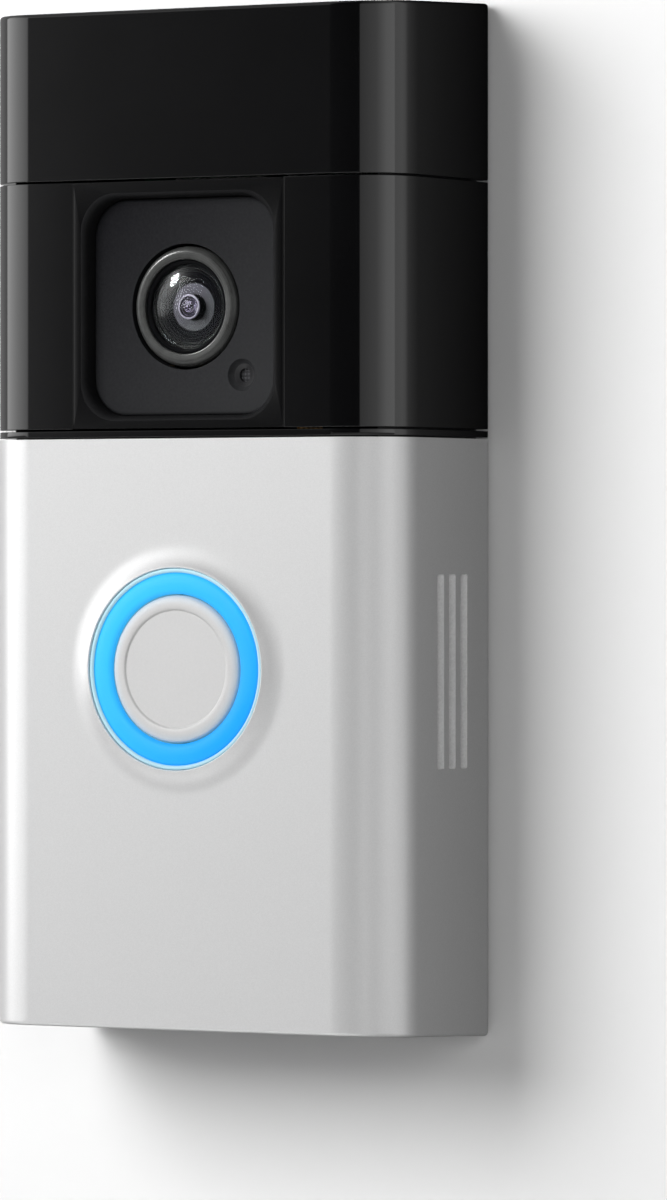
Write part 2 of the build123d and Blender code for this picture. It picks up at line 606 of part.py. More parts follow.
with BuildPart() as charging_port:
    block(8.0, 17.0, -18.6, -12.5, -58.1, -54.9)
    fillet(charging_port.edges().filter_by(Axis.Y), 1.2)
    block(8.4, 16.6, -19, -13.2, -57.7, -55.3, mode=Mode.SUBTRACT)
    block(9.3, 15.7, -18.0, -13.0, -56.8, -56.2)
keep(charging_port, "charging_port")

# Wall of the housing that leaves with the battery: the rear part of the floor.
with BuildPart() as battery_end_cap:
    add(outer.part)
    block(-28.1, 28.1, -19.5, -0.6, -70, -62.5, mode=Mode.INTERSECT)
    block(-5.4, 5.4, -20, -12.6, -70, -60, mode=Mode.SUBTRACT)
keep(battery_end_cap, "battery_end_cap")

with BuildPart() as release_tab:
    block(-5.0, 5.0, -19.3, -14.0, -64.0, -62.7)
    fillet(release_tab.edges().filter_by(Axis.X), 0.4)
    block(-5.0, 5.0, -18.5, -14.0, -63.2, -58.0)
    block(-3.5, 3.5, -19.3, -18.0, -60.4, -59.0)
    for y in (-18.3, -17.1, -15.9):
        block(-3.6, 3.6, y - 0.3, y + 0.3, -65, -63.75, mode=Mode.SUBTRACT)
keep(release_tab, "release_tab")

with BuildPart() as latch_spring:
    with BuildSketch(Plane.XY.offset(-61.8)):
        with BuildLine():
            Polyline((-2.0, -11.0), (2.0, -11.0), (2.0, -11.3), (-1.4, -12.35), (2.0, -13.4), (2.0, -14.0),
                     (1.6, -14.0), (1.6, -13.55), (-2.0, -12.5), (-2.0, -12.2), (1.0, -11.3), (-2.0, -11.3), close=True)
        make_face()
    extrude(amount=3.2)
keep(latch_spring, "latch_spring")

assert len(pieces) <= 60
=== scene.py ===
import bpy
import bmesh
import json
import math
from mathutils import Matrix, Vector


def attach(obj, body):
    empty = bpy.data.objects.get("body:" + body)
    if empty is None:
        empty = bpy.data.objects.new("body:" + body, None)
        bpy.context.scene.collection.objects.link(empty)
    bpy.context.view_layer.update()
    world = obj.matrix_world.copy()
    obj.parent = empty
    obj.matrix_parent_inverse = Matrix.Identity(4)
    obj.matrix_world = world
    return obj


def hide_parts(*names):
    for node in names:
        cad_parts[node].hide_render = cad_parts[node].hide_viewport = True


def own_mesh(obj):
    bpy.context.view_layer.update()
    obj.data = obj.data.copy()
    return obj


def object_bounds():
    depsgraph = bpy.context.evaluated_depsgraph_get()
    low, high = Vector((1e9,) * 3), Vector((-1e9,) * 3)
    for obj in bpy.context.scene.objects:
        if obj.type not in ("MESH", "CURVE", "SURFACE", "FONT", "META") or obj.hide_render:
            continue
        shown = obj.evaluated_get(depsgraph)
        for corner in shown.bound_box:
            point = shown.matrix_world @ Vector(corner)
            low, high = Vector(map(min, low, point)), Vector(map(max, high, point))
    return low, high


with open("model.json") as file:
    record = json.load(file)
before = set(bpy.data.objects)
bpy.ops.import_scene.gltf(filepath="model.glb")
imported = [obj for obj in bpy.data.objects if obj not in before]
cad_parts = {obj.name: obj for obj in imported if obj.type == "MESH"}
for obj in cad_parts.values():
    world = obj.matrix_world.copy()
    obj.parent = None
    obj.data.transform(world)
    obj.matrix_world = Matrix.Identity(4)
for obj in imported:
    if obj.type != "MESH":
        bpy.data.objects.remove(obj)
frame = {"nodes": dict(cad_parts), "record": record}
NODES = frame["nodes"]
BODY_OF = {n: b for b, ns in frame["record"]["behaviour"]["bodies"].items() for n in ns}
SLOT_OF = {s["node"]: s["material_slot"] for s in frame["record"]["subparts"]}
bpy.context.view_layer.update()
MM = 0.001
SCENE = bpy.context.scene
SCENE.view_settings.view_transform = "Standard"

# ------------------------------------------------------------ main sizes, mm
WIDTH, DEPTH, HEIGHT = 60.2, 26.5, 130.0
DRAFT, R_CORNER, R_BACK, R_END = 1.1, 8.0, 0.8, 0.5
T_TOP, T_FACE = 2.0, 1.6
Z_COVER, Z_BAND_HI, Z_BAND_LO = 42.70, 42.45, 11.40
Z_LIP_HI, Z_LIP_LO, Z_FACE_HI = 11.15, 10.35, 10.15
Z_WINDOW, Z_LENS, Z_BUTTON = 26.7, 26.66, -18.7


# ============================================================ mesh helpers
def new_object(name, bm):
    me = bpy.data.meshes.new(name)
    bmesh.ops.recalc_face_normals(bm, faces=bm.faces)
    bm.to_mesh(me)
    bm.free()
    ob = bpy.data.objects.new(name, me)
    SCENE.collection.objects.link(ob)
    return ob


def applied(ob):
    """Writes the modifiers' result into the object's own mesh."""
    bpy.context.view_layer.update()
    dg = bpy.context.evaluated_depsgraph_get()
    me = bpy.data.meshes.new_from_object(ob.evaluated_get(dg), preserve_all_data_layers=True, depsgraph=dg)
    old = ob.data
    ob.modifiers.clear()
    ob.data = me
    me.name = ob.name
    bpy.data.meshes.remove(old)
    return ob


def rings(name, loops, close=False, caps=(True, True)):
    """Skin over a row of equal loops of (x, y, z), in mm."""
    bm = bmesh.new()
    vs = [[bm.verts.new(Vector(p) * MM) for p in loop] for loop in loops]
    n = len(vs[0])
    pairs = list(zip(vs, vs[1:]))
    if close:
        pairs.append((vs[-1], vs[0]))
    for a, b in pairs:
        for i in range(n):
            j = (i + 1) % n
            bm.faces.new((a[i], a[j], b[j], b[i]))
    if not close:
        if caps[0]:
            bm.faces.new(vs[0])
        if caps[1]:
            bm.faces.new(vs[-1])
    return new_object(name, bm)


def lathe(name, x, z, profile, segs=112, closed=True, slots=None):
    """(radius, y) profile turned about an axis along Y. slots gives a material index by edge."""
    bm = bmesh.new()
    rows = []
    for r, y in profile:
        if r < 1e-6:
            rows.append([bm.verts.new((x * MM, y * MM, z * MM))])
        else:
            rows.append([bm.verts.new(((x + r * math.cos(2 * math.pi * i / segs)) * MM, y * MM,
                                       (z + r * math.sin(2 * math.pi * i / segs)) * MM)) for i in range(segs)])
    ends = list(zip(range(len(rows)), range(1, len(rows))))
    if closed:
        ends.append((len(rows) - 1, 0))
    for k, (ia, ib) in enumerate(ends):
        a, b = rows[ia], rows[ib]
        if len(a) == 1 and len(b) == 1:
            continue
        for i in range(segs):
            j = (i + 1) % segs
            if len(a) == 1:
                f = bm.faces.new((a[0], b[i], b[j]))
            elif len(b) == 1:
                f = bm.faces.new((a[i], b[0], a[j]))
            else:
                f = bm.faces.new((a[i], b[i], b[j], a[j]))
            if slots:
                f.material_index = slots[k % len(slots)]
    return new_object(name, bm)


def dome(r, y_edge, y_apex, steps=14):
    h = y_edge - y_apex
    big = (r * r + h * h) / (2 * h)
    side = 1 if big > 0 else -1
    centre = y_apex + big
    return [(r * (1 - i / steps), centre - side * math.sqrt(big * big - (r * (1 - i / steps)) ** 2))
            for i in range(steps + 1)]


def arc_points(cx, cy, r, a0, a1, n):
    return [(cx + r * math.cos(math.radians(a0 + (a1 - a0) * i / n)),
             cy + r * math.sin(math.radians(a0 + (a1 - a0) * i / n))) for i in range(n + 1)]


def plan(inset, y_back, r_back, n=22, nb=4):
    """Outline seen from above: right side, front right corner, front, front left corner, left side, back."""
    w, yf, r = WIDTH / 2 - inset, -DEPTH + inset, R_CORNER - inset
    rb = max(r_back, 0.02)
    return (arc_points(w - r, yf + r, r, 0, -90, n) + arc_points(-w + r, yf + r, r, -90, -180, n)
            + arc_points(-w + rb, y_back - rb, rb, 180, 90, nb) + arc_points(w - rb, y_back - rb, rb, 90, 0, nb))


def z_end(y, inset=0.0):
    return HEIGHT / 2 + DRAFT * y / DEPTH - inset


def outer_loops(top, z_cut, steps=5):
    """Loops of the outer surface from the cut at z_cut to the rounded end."""
    s = 1 if top else -1
    loops = [[(x, y, z_cut) for x, y in plan(0, -0.3, R_BACK)]]
    for k in range(steps + 1):
        a = math.radians(90 * k / steps)
        ins = R_END * (1 - math.cos(a))
        drop = R_END * (1 - math.sin(a))
        loops.append([(x, y, s * (z_end(y) - drop)) for x, y in plan(ins, -0.3 - ins, R_BACK - ins)])
    return loops


def inner_block(t, z_cut, top):
    s = 1 if top else -1
    pts = plan(t, 4.0, 0.02)
    return rings("cutter", [[(x, y, z_cut) for x, y in pts], [(x, y, s * z_end(y, t)) for x, y in pts]])


def rrect(w, h, r, n=10):
    """Rounded rectangle outline, centred, in two local axes."""
    a, b = w / 2 - r, h / 2 - r
    return (arc_points(a, b, r, 0, 90, n) + arc_points(-a, b, r, 90, 180, n)
            + arc_points(-a, -b, r, 180, 270, n) + arc_points(a, -b, r, 270, 360, n))


def box(x0, x1, y0, y1, z0, z1):
    return rings("cutter", [[(x0, y0, z), (x1, y0, z), (x1, y1, z), (x0, y1, z)] for z in (z0, z1)])


def rod_y(x, z, r, y0, y1, segs=64):
    return lathe("cutter", x, z, [(0, y0), (r, y0), (r, y1), (0, y1)], segs, closed=False)


def rod_z(x, y, r, z0, z1, segs=64):
    ring = [(x + r * math.cos(2 * math.pi * i / segs), y + r * math.sin(2 * math.pi * i / segs)) for i in range(segs)]
    return rings("cutter", [[(px, py, z) for px, py in ring] for z in (z0, z1)])


def boolean(ob, cutter, operation="DIFFERENCE", keep=False):
    m = ob.modifiers.new("cut", "BOOLEAN")
    m.solver = "EXACT"
    m.operation = operation
    m.object = cutter
    applied(ob)
    if not keep:
        me = cutter.data
        bpy.data.objects.remove(cutter)
        bpy.data.meshes.remove(me)
    return ob


def clean(ob, dist=2e-6, planar=True):
    bm = bmesh.new()
    bm.from_mesh(ob.data)
    bmesh.ops.remove_doubles(bm, verts=bm.verts, dist=dist)
    bmesh.ops.dissolve_degenerate(bm, dist=dist, edges=bm.edges)
    if planar:
        bmesh.ops.dissolve_limit(bm, angle_limit=math.radians(0.4), verts=bm.verts, edges=bm.edges,
                                 delimit={"MATERIAL"})
    bmesh.ops.recalc_face_normals(bm, faces=bm.faces)
    bm.to_mesh(ob.data)
    bm.free()
    ob.data.update()
    return ob


def soften(ob, width=0.15, segs=3, limit=35, sharp=50):
    """Small rounding on every hard edge, then smooth shading that keeps flats flat."""
    if width:
        m = ob.modifiers.new("edge", "BEVEL")
        m.width = width * MM
        m.segments = segs
        m.limit_method = "ANGLE"
        m.angle_limit = math.radians(limit)
        m.use_clamp_overlap = True
        m.miter_outer = "MITER_ARC"
        applied(ob)
        bm = bmesh.new()
        bm.from_mesh(ob.data)
        bmesh.ops.remove_doubles(bm, verts=bm.verts, dist=4e-7)
        bmesh.ops.dissolve_degenerate(bm, dist=4e-7, edges=bm.edges)
        bm.to_mesh(ob.data)
        bm.free()
    me = ob.data
    for p in me.polygons:
        p.use_smooth = True
    me.set_sharp_from_angle(angle=math.radians(sharp))
    w = ob.modifiers.new("normals", "WEIGHTED_NORMAL")
    w.mode = "FACE_AREA"
    w.weight = 100
    w.keep_sharp = True
    return applied(ob)


PIECES = []


def stand_for(ob, name, body, *nodes, slot=None, mats=None):
    """Names a finished piece, gives it its material and puts it on its body."""
    ob.name = name
    slot = slot or SLOT_OF[nodes[0]]
    index = [p.material_index if mats and len(mats) > 1 else 0 for p in ob.data.polygons]
    ob.data.materials.clear()
    for m in (mats or [MATS[slot]]):
        ob.data.materials.append(m)
    ob.data.polygons.foreach_set("material_index", index)
    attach(ob, body)
    if nodes:
        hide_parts(*nodes)
    PIECES.append(ob)
    return ob


# ============================================================ materials
class Nodes:
    """Short way to write a node tree."""

    def __init__(self, name):
        self.mat = bpy.data.materials.new(name)
        self.mat.use_nodes = True
        self.t = self.mat.node_tree
        self.t.nodes.clear()
        self.out = self.t.nodes.new("ShaderNodeOutputMaterial")
        self.coord = self.t.nodes.new("ShaderNodeTexCoord").outputs["Object"]

    def node(self, kind, **props):
        n = self.t.nodes.new(kind)
        for k, v in props.items():
            setattr(n, k, v)
        return n

    def link(self, a, b):
        self.t.links.new(a, b)

    def mapped(self, scale=(1, 1, 1), loc=(0, 0, 0), rot=(0, 0, 0), src=None):
        m = self.node("ShaderNodeMapping")
        m.inputs["Scale"].default_value = scale
        m.inputs["Location"].default_value = loc
        m.inputs["Rotation"].default_value = rot
        self.link(src or self.coord, m.inputs["Vector"])
        return m.outputs["Vector"]

    def noise(self, scale, detail=2.0, rough=0.5, src=None, dims="3D"):
        n = self.node("ShaderNodeTexNoise", noise_dimensions=dims)
        n.inputs["Scale"].default_value = scale
        n.inputs["Detail"].default_value = detail
        n.inputs["Roughness"].default_value = rough
        self.link(src or self.coord, n.inputs["W" if dims == "1D" else "Vector"])
        return n.outputs["Fac"]

    def voronoi(self, scale, feature="F1", src=None):
        n = self.node("ShaderNodeTexVoronoi", feature=feature)
        n.inputs["Scale"].default_value = scale
        self.link(src or self.coord, n.inputs["Vector"])
        return n

    def wave(self, scale, src=None, direction="X", distortion=0.0):
        n = self.node("ShaderNodeTexWave", bands_direction=direction)
        n.inputs["Scale"].default_value = scale
        n.inputs["Distortion"].default_value = distortion
        self.link(src or self.coord, n.inputs["Vector"])
        return n.outputs["Fac"]

    def math(self, op, a, b=None, clamp=False):
        n = self.node("ShaderNodeMath", operation=op, use_clamp=clamp)
        for sock, v in zip(n.inputs, (a, b)):
            if v is None:
                continue
            if isinstance(v, (int, float)):
                sock.default_value = v
            else:
                self.link(v, sock)
        return n.outputs[0]

    def remap(self, v, a, b, c, d, smooth=False):
        n = self.node("ShaderNodeMapRange")
        if smooth:
            n.interpolation_type = "SMOOTHSTEP"
        for k, x in zip(("From Min", "From Max", "To Min", "To Max"), (a, b, c, d)):
            n.inputs[k].default_value = x
        self.link(v, n.inputs["Value"])
        return n.outputs["Result"]

    def mix(self, fac, a, b, blend="MIX"):
        n = self.node("ShaderNodeMix", data_type="RGBA", blend_type=blend)
        for sock, v in ((n.inputs[0], fac), (n.inputs[6], a), (n.inputs[7], b)):
            if isinstance(v, (int, float)):
                sock.default_value = v
            elif isinstance(v, (tuple, list)):
                sock.default_value = (*v[:3], 1.0)
            else:
                self.link(v, sock)
        return n.outputs[2]

    def radius(self, x, z):
        """Distance in metres from an axis along Y."""
        n = self.node("ShaderNodeVectorMath", operation="SUBTRACT")
        self.link(self.coord, n.inputs[0])
        n.inputs[1].default_value = (x * MM, 0, z * MM)
        m = self.node("ShaderNodeVectorMath", operation="MULTIPLY")
        self.link(n.outputs[0], m.inputs[0])
        m.inputs[1].default_value = (1, 0, 1)
        length = self.node("ShaderNodeVectorMath", operation="LENGTH")
        self.link(m.outputs[0], length.inputs[0])
        return length.outputs["Value"], n.outputs[0]

    def xyz(self, src=None):
        n = self.node("ShaderNodeSeparateXYZ")
        self.link(src or self.coord, n.inputs[0])
        return n.outputs

    def bump(self, height, strength, dist, normal=None):
        n = self.node("ShaderNodeBump")
        n.inputs["Strength"].default_value = strength
        n.inputs["Distance"].default_value = dist
        self.link(height, n.inputs["Height"])
        if normal:
            self.link(normal, n.inputs["Normal"])
        return n.outputs["Normal"]

    def shader(self, color=None, rough=None, normal=None, **sockets):
        p = self.node("ShaderNodeBsdfPrincipled")
        for sock, v in (("Base Color", color), ("Roughness", rough), ("Normal", normal)):
            if v is None:
                continue
            if isinstance(v, (int, float)):
                p.inputs[sock].default_value = v
            elif isinstance(v, (tuple, list)):
                p.inputs[sock].default_value = (*v[:3], 1.0)
            else:
                self.link(v, p.inputs[sock])
        for k, v in sockets.items():
            s = p.inputs[k.replace("_", " ")]
            if hasattr(v, "links"):
                self.link(v, s)
            else:
                s.default_value = v
        self.link(p.outputs[0], self.out.inputs["Surface"])
        return p


def shade(c, k):
    return tuple(min(1.0, x * k) for x in c)


def gloss_black(name, base, r0, r1, wave_amp):
    n = Nodes(name)
    fine = n.noise(900, 3, 0.6)
    broad = n.noise(60, 2, 0.5)
    dust = n.voronoi(2600).outputs["Distance"]
    col = n.mix(n.remap(broad, 0.3, 0.7, 0, 1), shade(base, 0.85), shade(base, 1.25))
    rough = n.remap(n.math("ADD", n.math("MULTIPLY", fine, 0.5), n.math("MULTIPLY", broad, 0.5)), 0.3, 0.7, r0, r1)
    speck = n.remap(dust, 0.0, 0.06, 1.0, 0.0)
    rough = n.math("ADD", rough, n.math("MULTIPLY", speck, 0.05), clamp=True)
    nrm = n.bump(n.noise(240, 1, 0.4), wave_amp, 0.00002)
    n.shader(col, rough, nrm, IOR=1.7, Specular_IOR_Level=0.5)
    return n.mat


def moulded(name, base, r0, r1, grain=2200, depth=0.00002, strength=0.35, lift=1.35, **kw):
    """Matte moulded plastic: spark-eroded grain, faint flow shading and rubbed high spots."""
    n = Nodes(name)
    g = n.noise(grain, 3, 0.65)
    cells = n.voronoi(grain * 0.8, "SMOOTH_F1").outputs["Distance"]
    broad = n.noise(45, 3, 0.55)
    h = n.math("ADD", n.math("MULTIPLY", g, 0.6), n.math("MULTIPLY", cells, 0.4))
    tone = n.math("ADD", n.math("MULTIPLY", h, 0.55), n.math("MULTIPLY", broad, 0.45))
    col = n.mix(n.remap(tone, 0.3, 0.7, 0, 1), shade(base, 0.8), shade(base, lift))
    rough = n.remap(tone, 0.3, 0.7, r1, r0)
    n.shader(col, rough, n.bump(h, strength, depth), **kw)
    return n.mat


def metal(name, base, r0, r1, stretch=(1, 1, 30), grain=900, **kw):
    """Drawn or rolled metal: fine lines one way, soft stains."""
    n = Nodes(name)
    lines = n.noise(grain, 3, 0.7, src=n.mapped(stretch))
    stain = n.noise(150, 3, 0.6)
    col = n.mix(n.remap(stain, 0.35, 0.7, 0, 1), shade(base, 1.06), shade(base, 0.8))
    rough = n.remap(n.math("ADD", n.math("MULTIPLY", lines, 0.7), n.math("MULTIPLY", stain, 0.3)), 0.35, 0.65, r0, r1)
    n.shader(col, rough, n.bump(lines, 0.2, 0.000006), Metallic=1.0, **kw)
    return n.mat


def satin_silver():
    n = Nodes("satin_silver")
    flake = n.voronoi(9000)
    fine = n.noise(5200, 2, 0.6)
    broad = n.noise(30, 2, 0.5)
    sep = n.node("ShaderNodeSeparateColor")
    n.link(flake.outputs["Color"], sep.inputs[0])
    grain = n.math("ADD", n.math("MULTIPLY", sep.outputs[0], 0.5), n.math("MULTIPLY", fine, 0.5))
    tone = n.math("ADD", n.math("MULTIPLY", grain, 0.75), n.math("MULTIPLY", broad, 0.25))
    col = n.mix(n.remap(tone, 0.25, 0.75, 0, 1), (0.63, 0.63, 0.632), (0.675, 0.675, 0.677))
    rough = n.remap(tone, 0.25, 0.75, 0.335, 0.30)
    nrm = n.bump(grain, 0.06, 0.000004)
    n.shader(col, rough, nrm, Metallic=0.55, Specular_IOR_Level=0.3)
    return n.mat


def button_silver():
    n = Nodes("button_silver")
    g = n.noise(4200, 2, 0.6)
    broad = n.noise(70, 2, 0.5)
    tone = n.math("ADD", n.math("MULTIPLY", g, 0.6), n.math("MULTIPLY", broad, 0.4))
    col = n.mix(n.remap(tone, 0.3, 0.7, 0, 1), (0.42, 0.418, 0.418), (0.45, 0.448, 0.448))
    # painted glow: the milky skirt is given a little emission, standing in for the ring's light falling on it
    r, _ = n.radius(0, Z_BUTTON)
    painted_ring_glow = n.remap(r, 0.0079, 0.0093, 0.0, 1.0, smooth=True)
    emit = n.mix(painted_ring_glow, (0.0, 0.0, 0.0), (0.02, 0.30, 0.55))
    n.shader(col, n.remap(tone, 0.3, 0.7, 0.48, 0.40), n.bump(g, 0.08, 0.000005), Metallic=0.2,
             Emission_Color=emit, Emission_Strength=0.28)
    return n.mat


def light_guide(lip=False):
    n = Nodes("light_guide_lip" if lip else "light_guide_blue")
    r, rel = n.radius(0, Z_BUTTON)
    x, _, z = n.xyz(rel)
    # painted light: glow and base colour brighter towards the upper left, the side the key lamp falls on
    painted_lit_side = n.math("SUBTRACT", n.math("MULTIPLY", z, 45.0), n.math("MULTIPLY", x, 45.0))
    painted_lit_side = n.remap(painted_lit_side, -0.8, 0.8, 0, 1)
    mottle = n.noise(420, 3, 0.6)
    t = n.math("ADD", painted_lit_side, n.math("MULTIPLY", n.math("SUBTRACT", mottle, 0.5), 0.12), clamp=True)
    if lip:
        col = n.mix(t, (0.26, 0.36, 0.40), (0.31, 0.42, 0.46))
        emit = n.mix(t, (0.12, 0.36, 0.48), (0.16, 0.40, 0.50))
        n.shader(col, n.remap(mottle, 0.3, 0.7, 0.35, 0.5), n.bump(mottle, 0.05, 0.00001),
                 Emission_Color=emit, Emission_Strength=0.45)
    else:
        lo = n.mix(t, (0.006, 0.30, 0.93), (0.026, 0.47, 0.95))
        # painted shade: the glow is dimmed at its two edges, where the guide turns down beside the cap and beside the
        # lip
        cap_side_painted_shade = n.remap(r, 0.00935, 0.0101, 0.80, 1.0, smooth=True)
        lip_side_painted_shade = n.remap(r, 0.01175, 0.01205, 1.0, 0.72, smooth=True)
        emit = n.mix(1.0, lo, n.math("MULTIPLY", cap_side_painted_shade, lip_side_painted_shade), blend="MULTIPLY")
        col = n.mix(t, (0.008, 0.10, 0.24), (0.02, 0.14, 0.26))
        n.shader(col, n.remap(mottle, 0.3, 0.7, 0.30, 0.42), n.bump(mottle, 0.05, 0.00001),
                 Emission_Color=emit, Emission_Strength=0.90, Specular_IOR_Level=0.2)
    return n.mat


def charcoal():
    n = Nodes("charcoal_plate")
    g = n.noise(3600, 3, 0.6)
    cells = n.voronoi(3000, "SMOOTH_F1").outputs["Distance"]
    h = n.math("ADD", n.math("MULTIPLY", g, 0.5), n.math("MULTIPLY", cells, 0.5))
    x, _, z = n.xyz()
    # painted light and shade: the plate is darker towards the upper left under the bezel and lighter towards the lower
    # right corner, where the light falls in
    painted_shade_ramp = n.remap(n.math("SUBTRACT", n.math("MULTIPLY", x, 1.0), n.math("SUBTRACT", z, Z_WINDOW * MM)),
                   -0.024, 0.022, 0, 1)
    tone = n.math("ADD", painted_shade_ramp, n.math("MULTIPLY", n.math("SUBTRACT", h, 0.5), 0.5), clamp=True)
    col = n.mix(tone, (0.0048, 0.0049, 0.0058), (0.0195, 0.0199, 0.0210))
    n.shader(col, n.remap(h, 0.3, 0.7, 0.62, 0.5), n.bump(h, 0.16, 0.000008), Specular_IOR_Level=0.08)
    return n.mat


def turned_metal(name, base, r0, r1, x, z, lines=9000.0, **kw):
    """Metal with lathe lines round an axis along Y."""
    n = Nodes(name)
    r, rel = n.radius(x, z)
    groove = n.noise(lines, 3, 0.7, src=r, dims="1D")
    stain = n.noise(500, 3, 0.6)
    col = n.mix(n.remap(stain, 0.3, 0.7, 0, 1), shade(base, 0.85), shade(base, 1.15))
    rough = n.remap(n.math("ADD", n.math("MULTIPLY", groove, 0.7), n.math("MULTIPLY", stain, 0.3)), 0.35, 0.65, r0, r1)
    n.shader(col, rough, n.bump(groove, 0.10, 0.000004), **kw)
    return n.mat


def coated_glass(name, tint, ior, spec=(0.085, 0.112, 0.116), rough=0.0, coat=0.2):
    """Coated glass that bends and mirrors, and lets the lamps reach what is behind it."""
    n = Nodes(name)
    smear = n.noise(700, 3, 0.6)
    col = n.mix(n.remap(smear, 0.3, 0.7, 0, 1), tint, shade(tint, 0.97))
    p = n.shader(col, n.remap(smear, 0.45, 0.75, rough, rough + 0.015), None, Transmission_Weight=1.0, IOR=ior,
                 Specular_Tint=(*spec, 1.0), Coat_Weight=coat, Coat_Roughness=0.30, Coat_IOR=1.5)
    tr = n.node("ShaderNodeBsdfTransparent")
    tr.inputs["Color"].default_value = (*tint, 1.0)
    lp = n.node("ShaderNodeLightPath")
    mix = n.node("ShaderNodeMixShader")
    n.link(lp.outputs["Is Shadow Ray"], mix.inputs[0])
    n.link(p.outputs[0], mix.inputs[1])
    n.link(tr.outputs[0], mix.inputs[2])
    n.link(mix.outputs[0], n.out.inputs["Surface"])
    return n.mat


def pir_lens():
    n = Nodes("pir_window")
    a, _ = n.radius(-10, 53)
    b, _ = n.radius(10, 53)
    near = n.math("MINIMUM", a, b)
    groove = n.math("SINE", n.math("MULTIPLY", near, 9500.0))
    g = n.noise(900, 3, 0.6)
    col = n.mix(n.remap(g, 0.3, 0.7, 0, 1), (0.035, 0.035, 0.04), (0.07, 0.07, 0.075))
    n.shader(col, n.remap(g, 0.3, 0.7, 0.22, 0.34), n.bump(groove, 0.5, 0.00005))
    return n.mat


def circuit(name, mask, copper):
    """Solder mask over tracks, with a few bright pads."""
    n = Nodes(name)
    x, y, z = n.xyz()
    v = n.node("ShaderNodeCombineXYZ")
    n.link(x, v.inputs[0])
    n.link(z, v.inputs[1])
    n.link(n.math("MULTIPLY", y, 0.3), v.inputs[2])
    wob = n.noise(170, 1, 0.4, src=v.outputs[0])
    tracks = n.math("SINE", n.math("MULTIPLY", n.math("ADD", x, n.math("MULTIPLY", wob, 0.012)), 5200.0))
    rows = n.math("SINE", n.math("MULTIPLY", n.math("ADD", z, n.math("MULTIPLY", wob, 0.009)), 4300.0))
    pick = n.remap(n.noise(120, 0, 0.5, src=v.outputs[0]), 0.48, 0.5, 0, 1)
    line = n.math("ADD", n.math("MULTIPLY", n.remap(tracks, 0.4, 0.6, 0, 1), pick),
                  n.math("MULTIPLY", n.remap(rows, 0.4, 0.6, 0, 1), n.math("SUBTRACT", 1.0, pick)), clamp=True)
    via = n.voronoi(420, src=v.outputs[0])
    pad = n.remap(via.outputs["Distance"], 0.12, 0.14, 1, 0)
    ring = n.math("SUBTRACT", pad, n.remap(via.outputs["Distance"], 0.05, 0.06, 1, 0), clamp=True)
    col = n.mix(line, mask, shade(mask, 2.0))
    col = n.mix(ring, col, copper)
    g = n.noise(1500, 2, 0.6)
    rough = n.remap(g, 0.3, 0.7, 0.30, 0.42)
    h = n.math("ADD", n.math("MULTIPLY", line, 0.5), n.math("MULTIPLY", ring, 0.4))
    n.shader(col, rough, n.bump(h, 0.5, 0.00003), Metallic=n.math("MULTIPLY", ring, 0.9))
    return n.mat


def woven(name, base, scale=6500.0):
    n = Nodes(name)
    x, y, z = n.xyz()
    a = n.math("SINE", n.math("MULTIPLY", n.math("ADD", x, y), scale))
    b = n.math("SINE", n.math("MULTIPLY", z, scale))
    weave = n.math("MULTIPLY", n.math("ABSOLUTE", a), n.math("ABSOLUTE", b))
    f = n.noise(2500, 3, 0.7)
    col = n.mix(n.math("MULTIPLY", weave, f), shade(base, 0.5), shade(base, 3.2))
    n.shader(col, n.remap(f, 0.3, 0.7, 0.6, 0.85), n.bump(weave, 0.8, 0.00004))
    return n.mat


def striped(name, base, line, pitch=6000.0, axis=0, **kw):
    """Film with conductors showing through."""
    n = Nodes(name)
    c = n.xyz()[axis]
    s = n.remap(n.math("SINE", n.math("MULTIPLY", c, pitch)), -0.1, 0.25, 0, 1)
    g = n.noise(900, 3, 0.6)
    col = n.mix(s, base, line)
    col = n.mix(n.remap(g, 0.4, 0.8, 0, 0.3), col, shade(base, 0.5))
    n.shader(col, n.remap(g, 0.3, 0.7, 0.28, 0.45), n.bump(s, 0.3, 0.00002), **kw)
    return n.mat


def wrapped_cell():
    n = Nodes("cell_wrap")
    x, y, z = n.xyz()
    crease = n.noise(260, 4, 0.65, src=n.mapped((1, 1, 0.35)))
    band = n.remap(z, -0.0475, -0.047, 0, 1)
    band2 = n.remap(z, 0.0005, 0.001, 1, 0)
    body = n.math("MULTIPLY", band, band2)
    col = n.mix(body, (0.55, 0.55, 0.56), (0.03, 0.13, 0.30))
    col = n.mix(n.remap(crease, 0.35, 0.7, 0, 0.6), col, (0.09, 0.22, 0.42))
    n.shader(col, n.remap(crease, 0.3, 0.7, 0.22, 0.4), n.bump(crease, 0.4, 0.00012), Coat_Weight=0.5,
             Coat_Roughness=0.12)
    return n.mat


def silicon():
    n = Nodes("sensor_silicon")
    x, y, z = n.xyz()
    g = n.math("SINE", n.math("MULTIPLY", n.math("ADD", x, z), 2600.0))
    dies = n.noise(900, 2, 0.5)
    lw = n.node("ShaderNodeLayerWeight")
    lw.inputs["Blend"].default_value = 0.5
    col = n.mix(lw.outputs["Facing"], (0.10, 0.16, 0.34), (0.35, 0.16, 0.30))
    col = n.mix(n.remap(g, -0.2, 0.8, 0, 0.35), col, (0.12, 0.30, 0.26))
    n.shader(col, n.remap(dies, 0.3, 0.7, 0.10, 0.2), n.bump(g, 0.1, 0.00001), Metallic=0.9)
    return n.mat


def chip():
    n = Nodes("chip_black")
    g = n.noise(3800, 3, 0.65)
    x, y, z = n.xyz()
    cross = n.math("SINE", n.math("MULTIPLY", x, 3100.0))
    col = n.mix(n.remap(g, 0.3, 0.7, 0, 1), (0.016, 0.016, 0.019), (0.045, 0.045, 0.05))
    n.shader(col, n.remap(g, 0.3, 0.7, 0.4, 0.6), n.bump(n.math("ADD", g, n.math("MULTIPLY", cross, 0.05)), 0.3,
                                                      0.00002))
    return n.mat


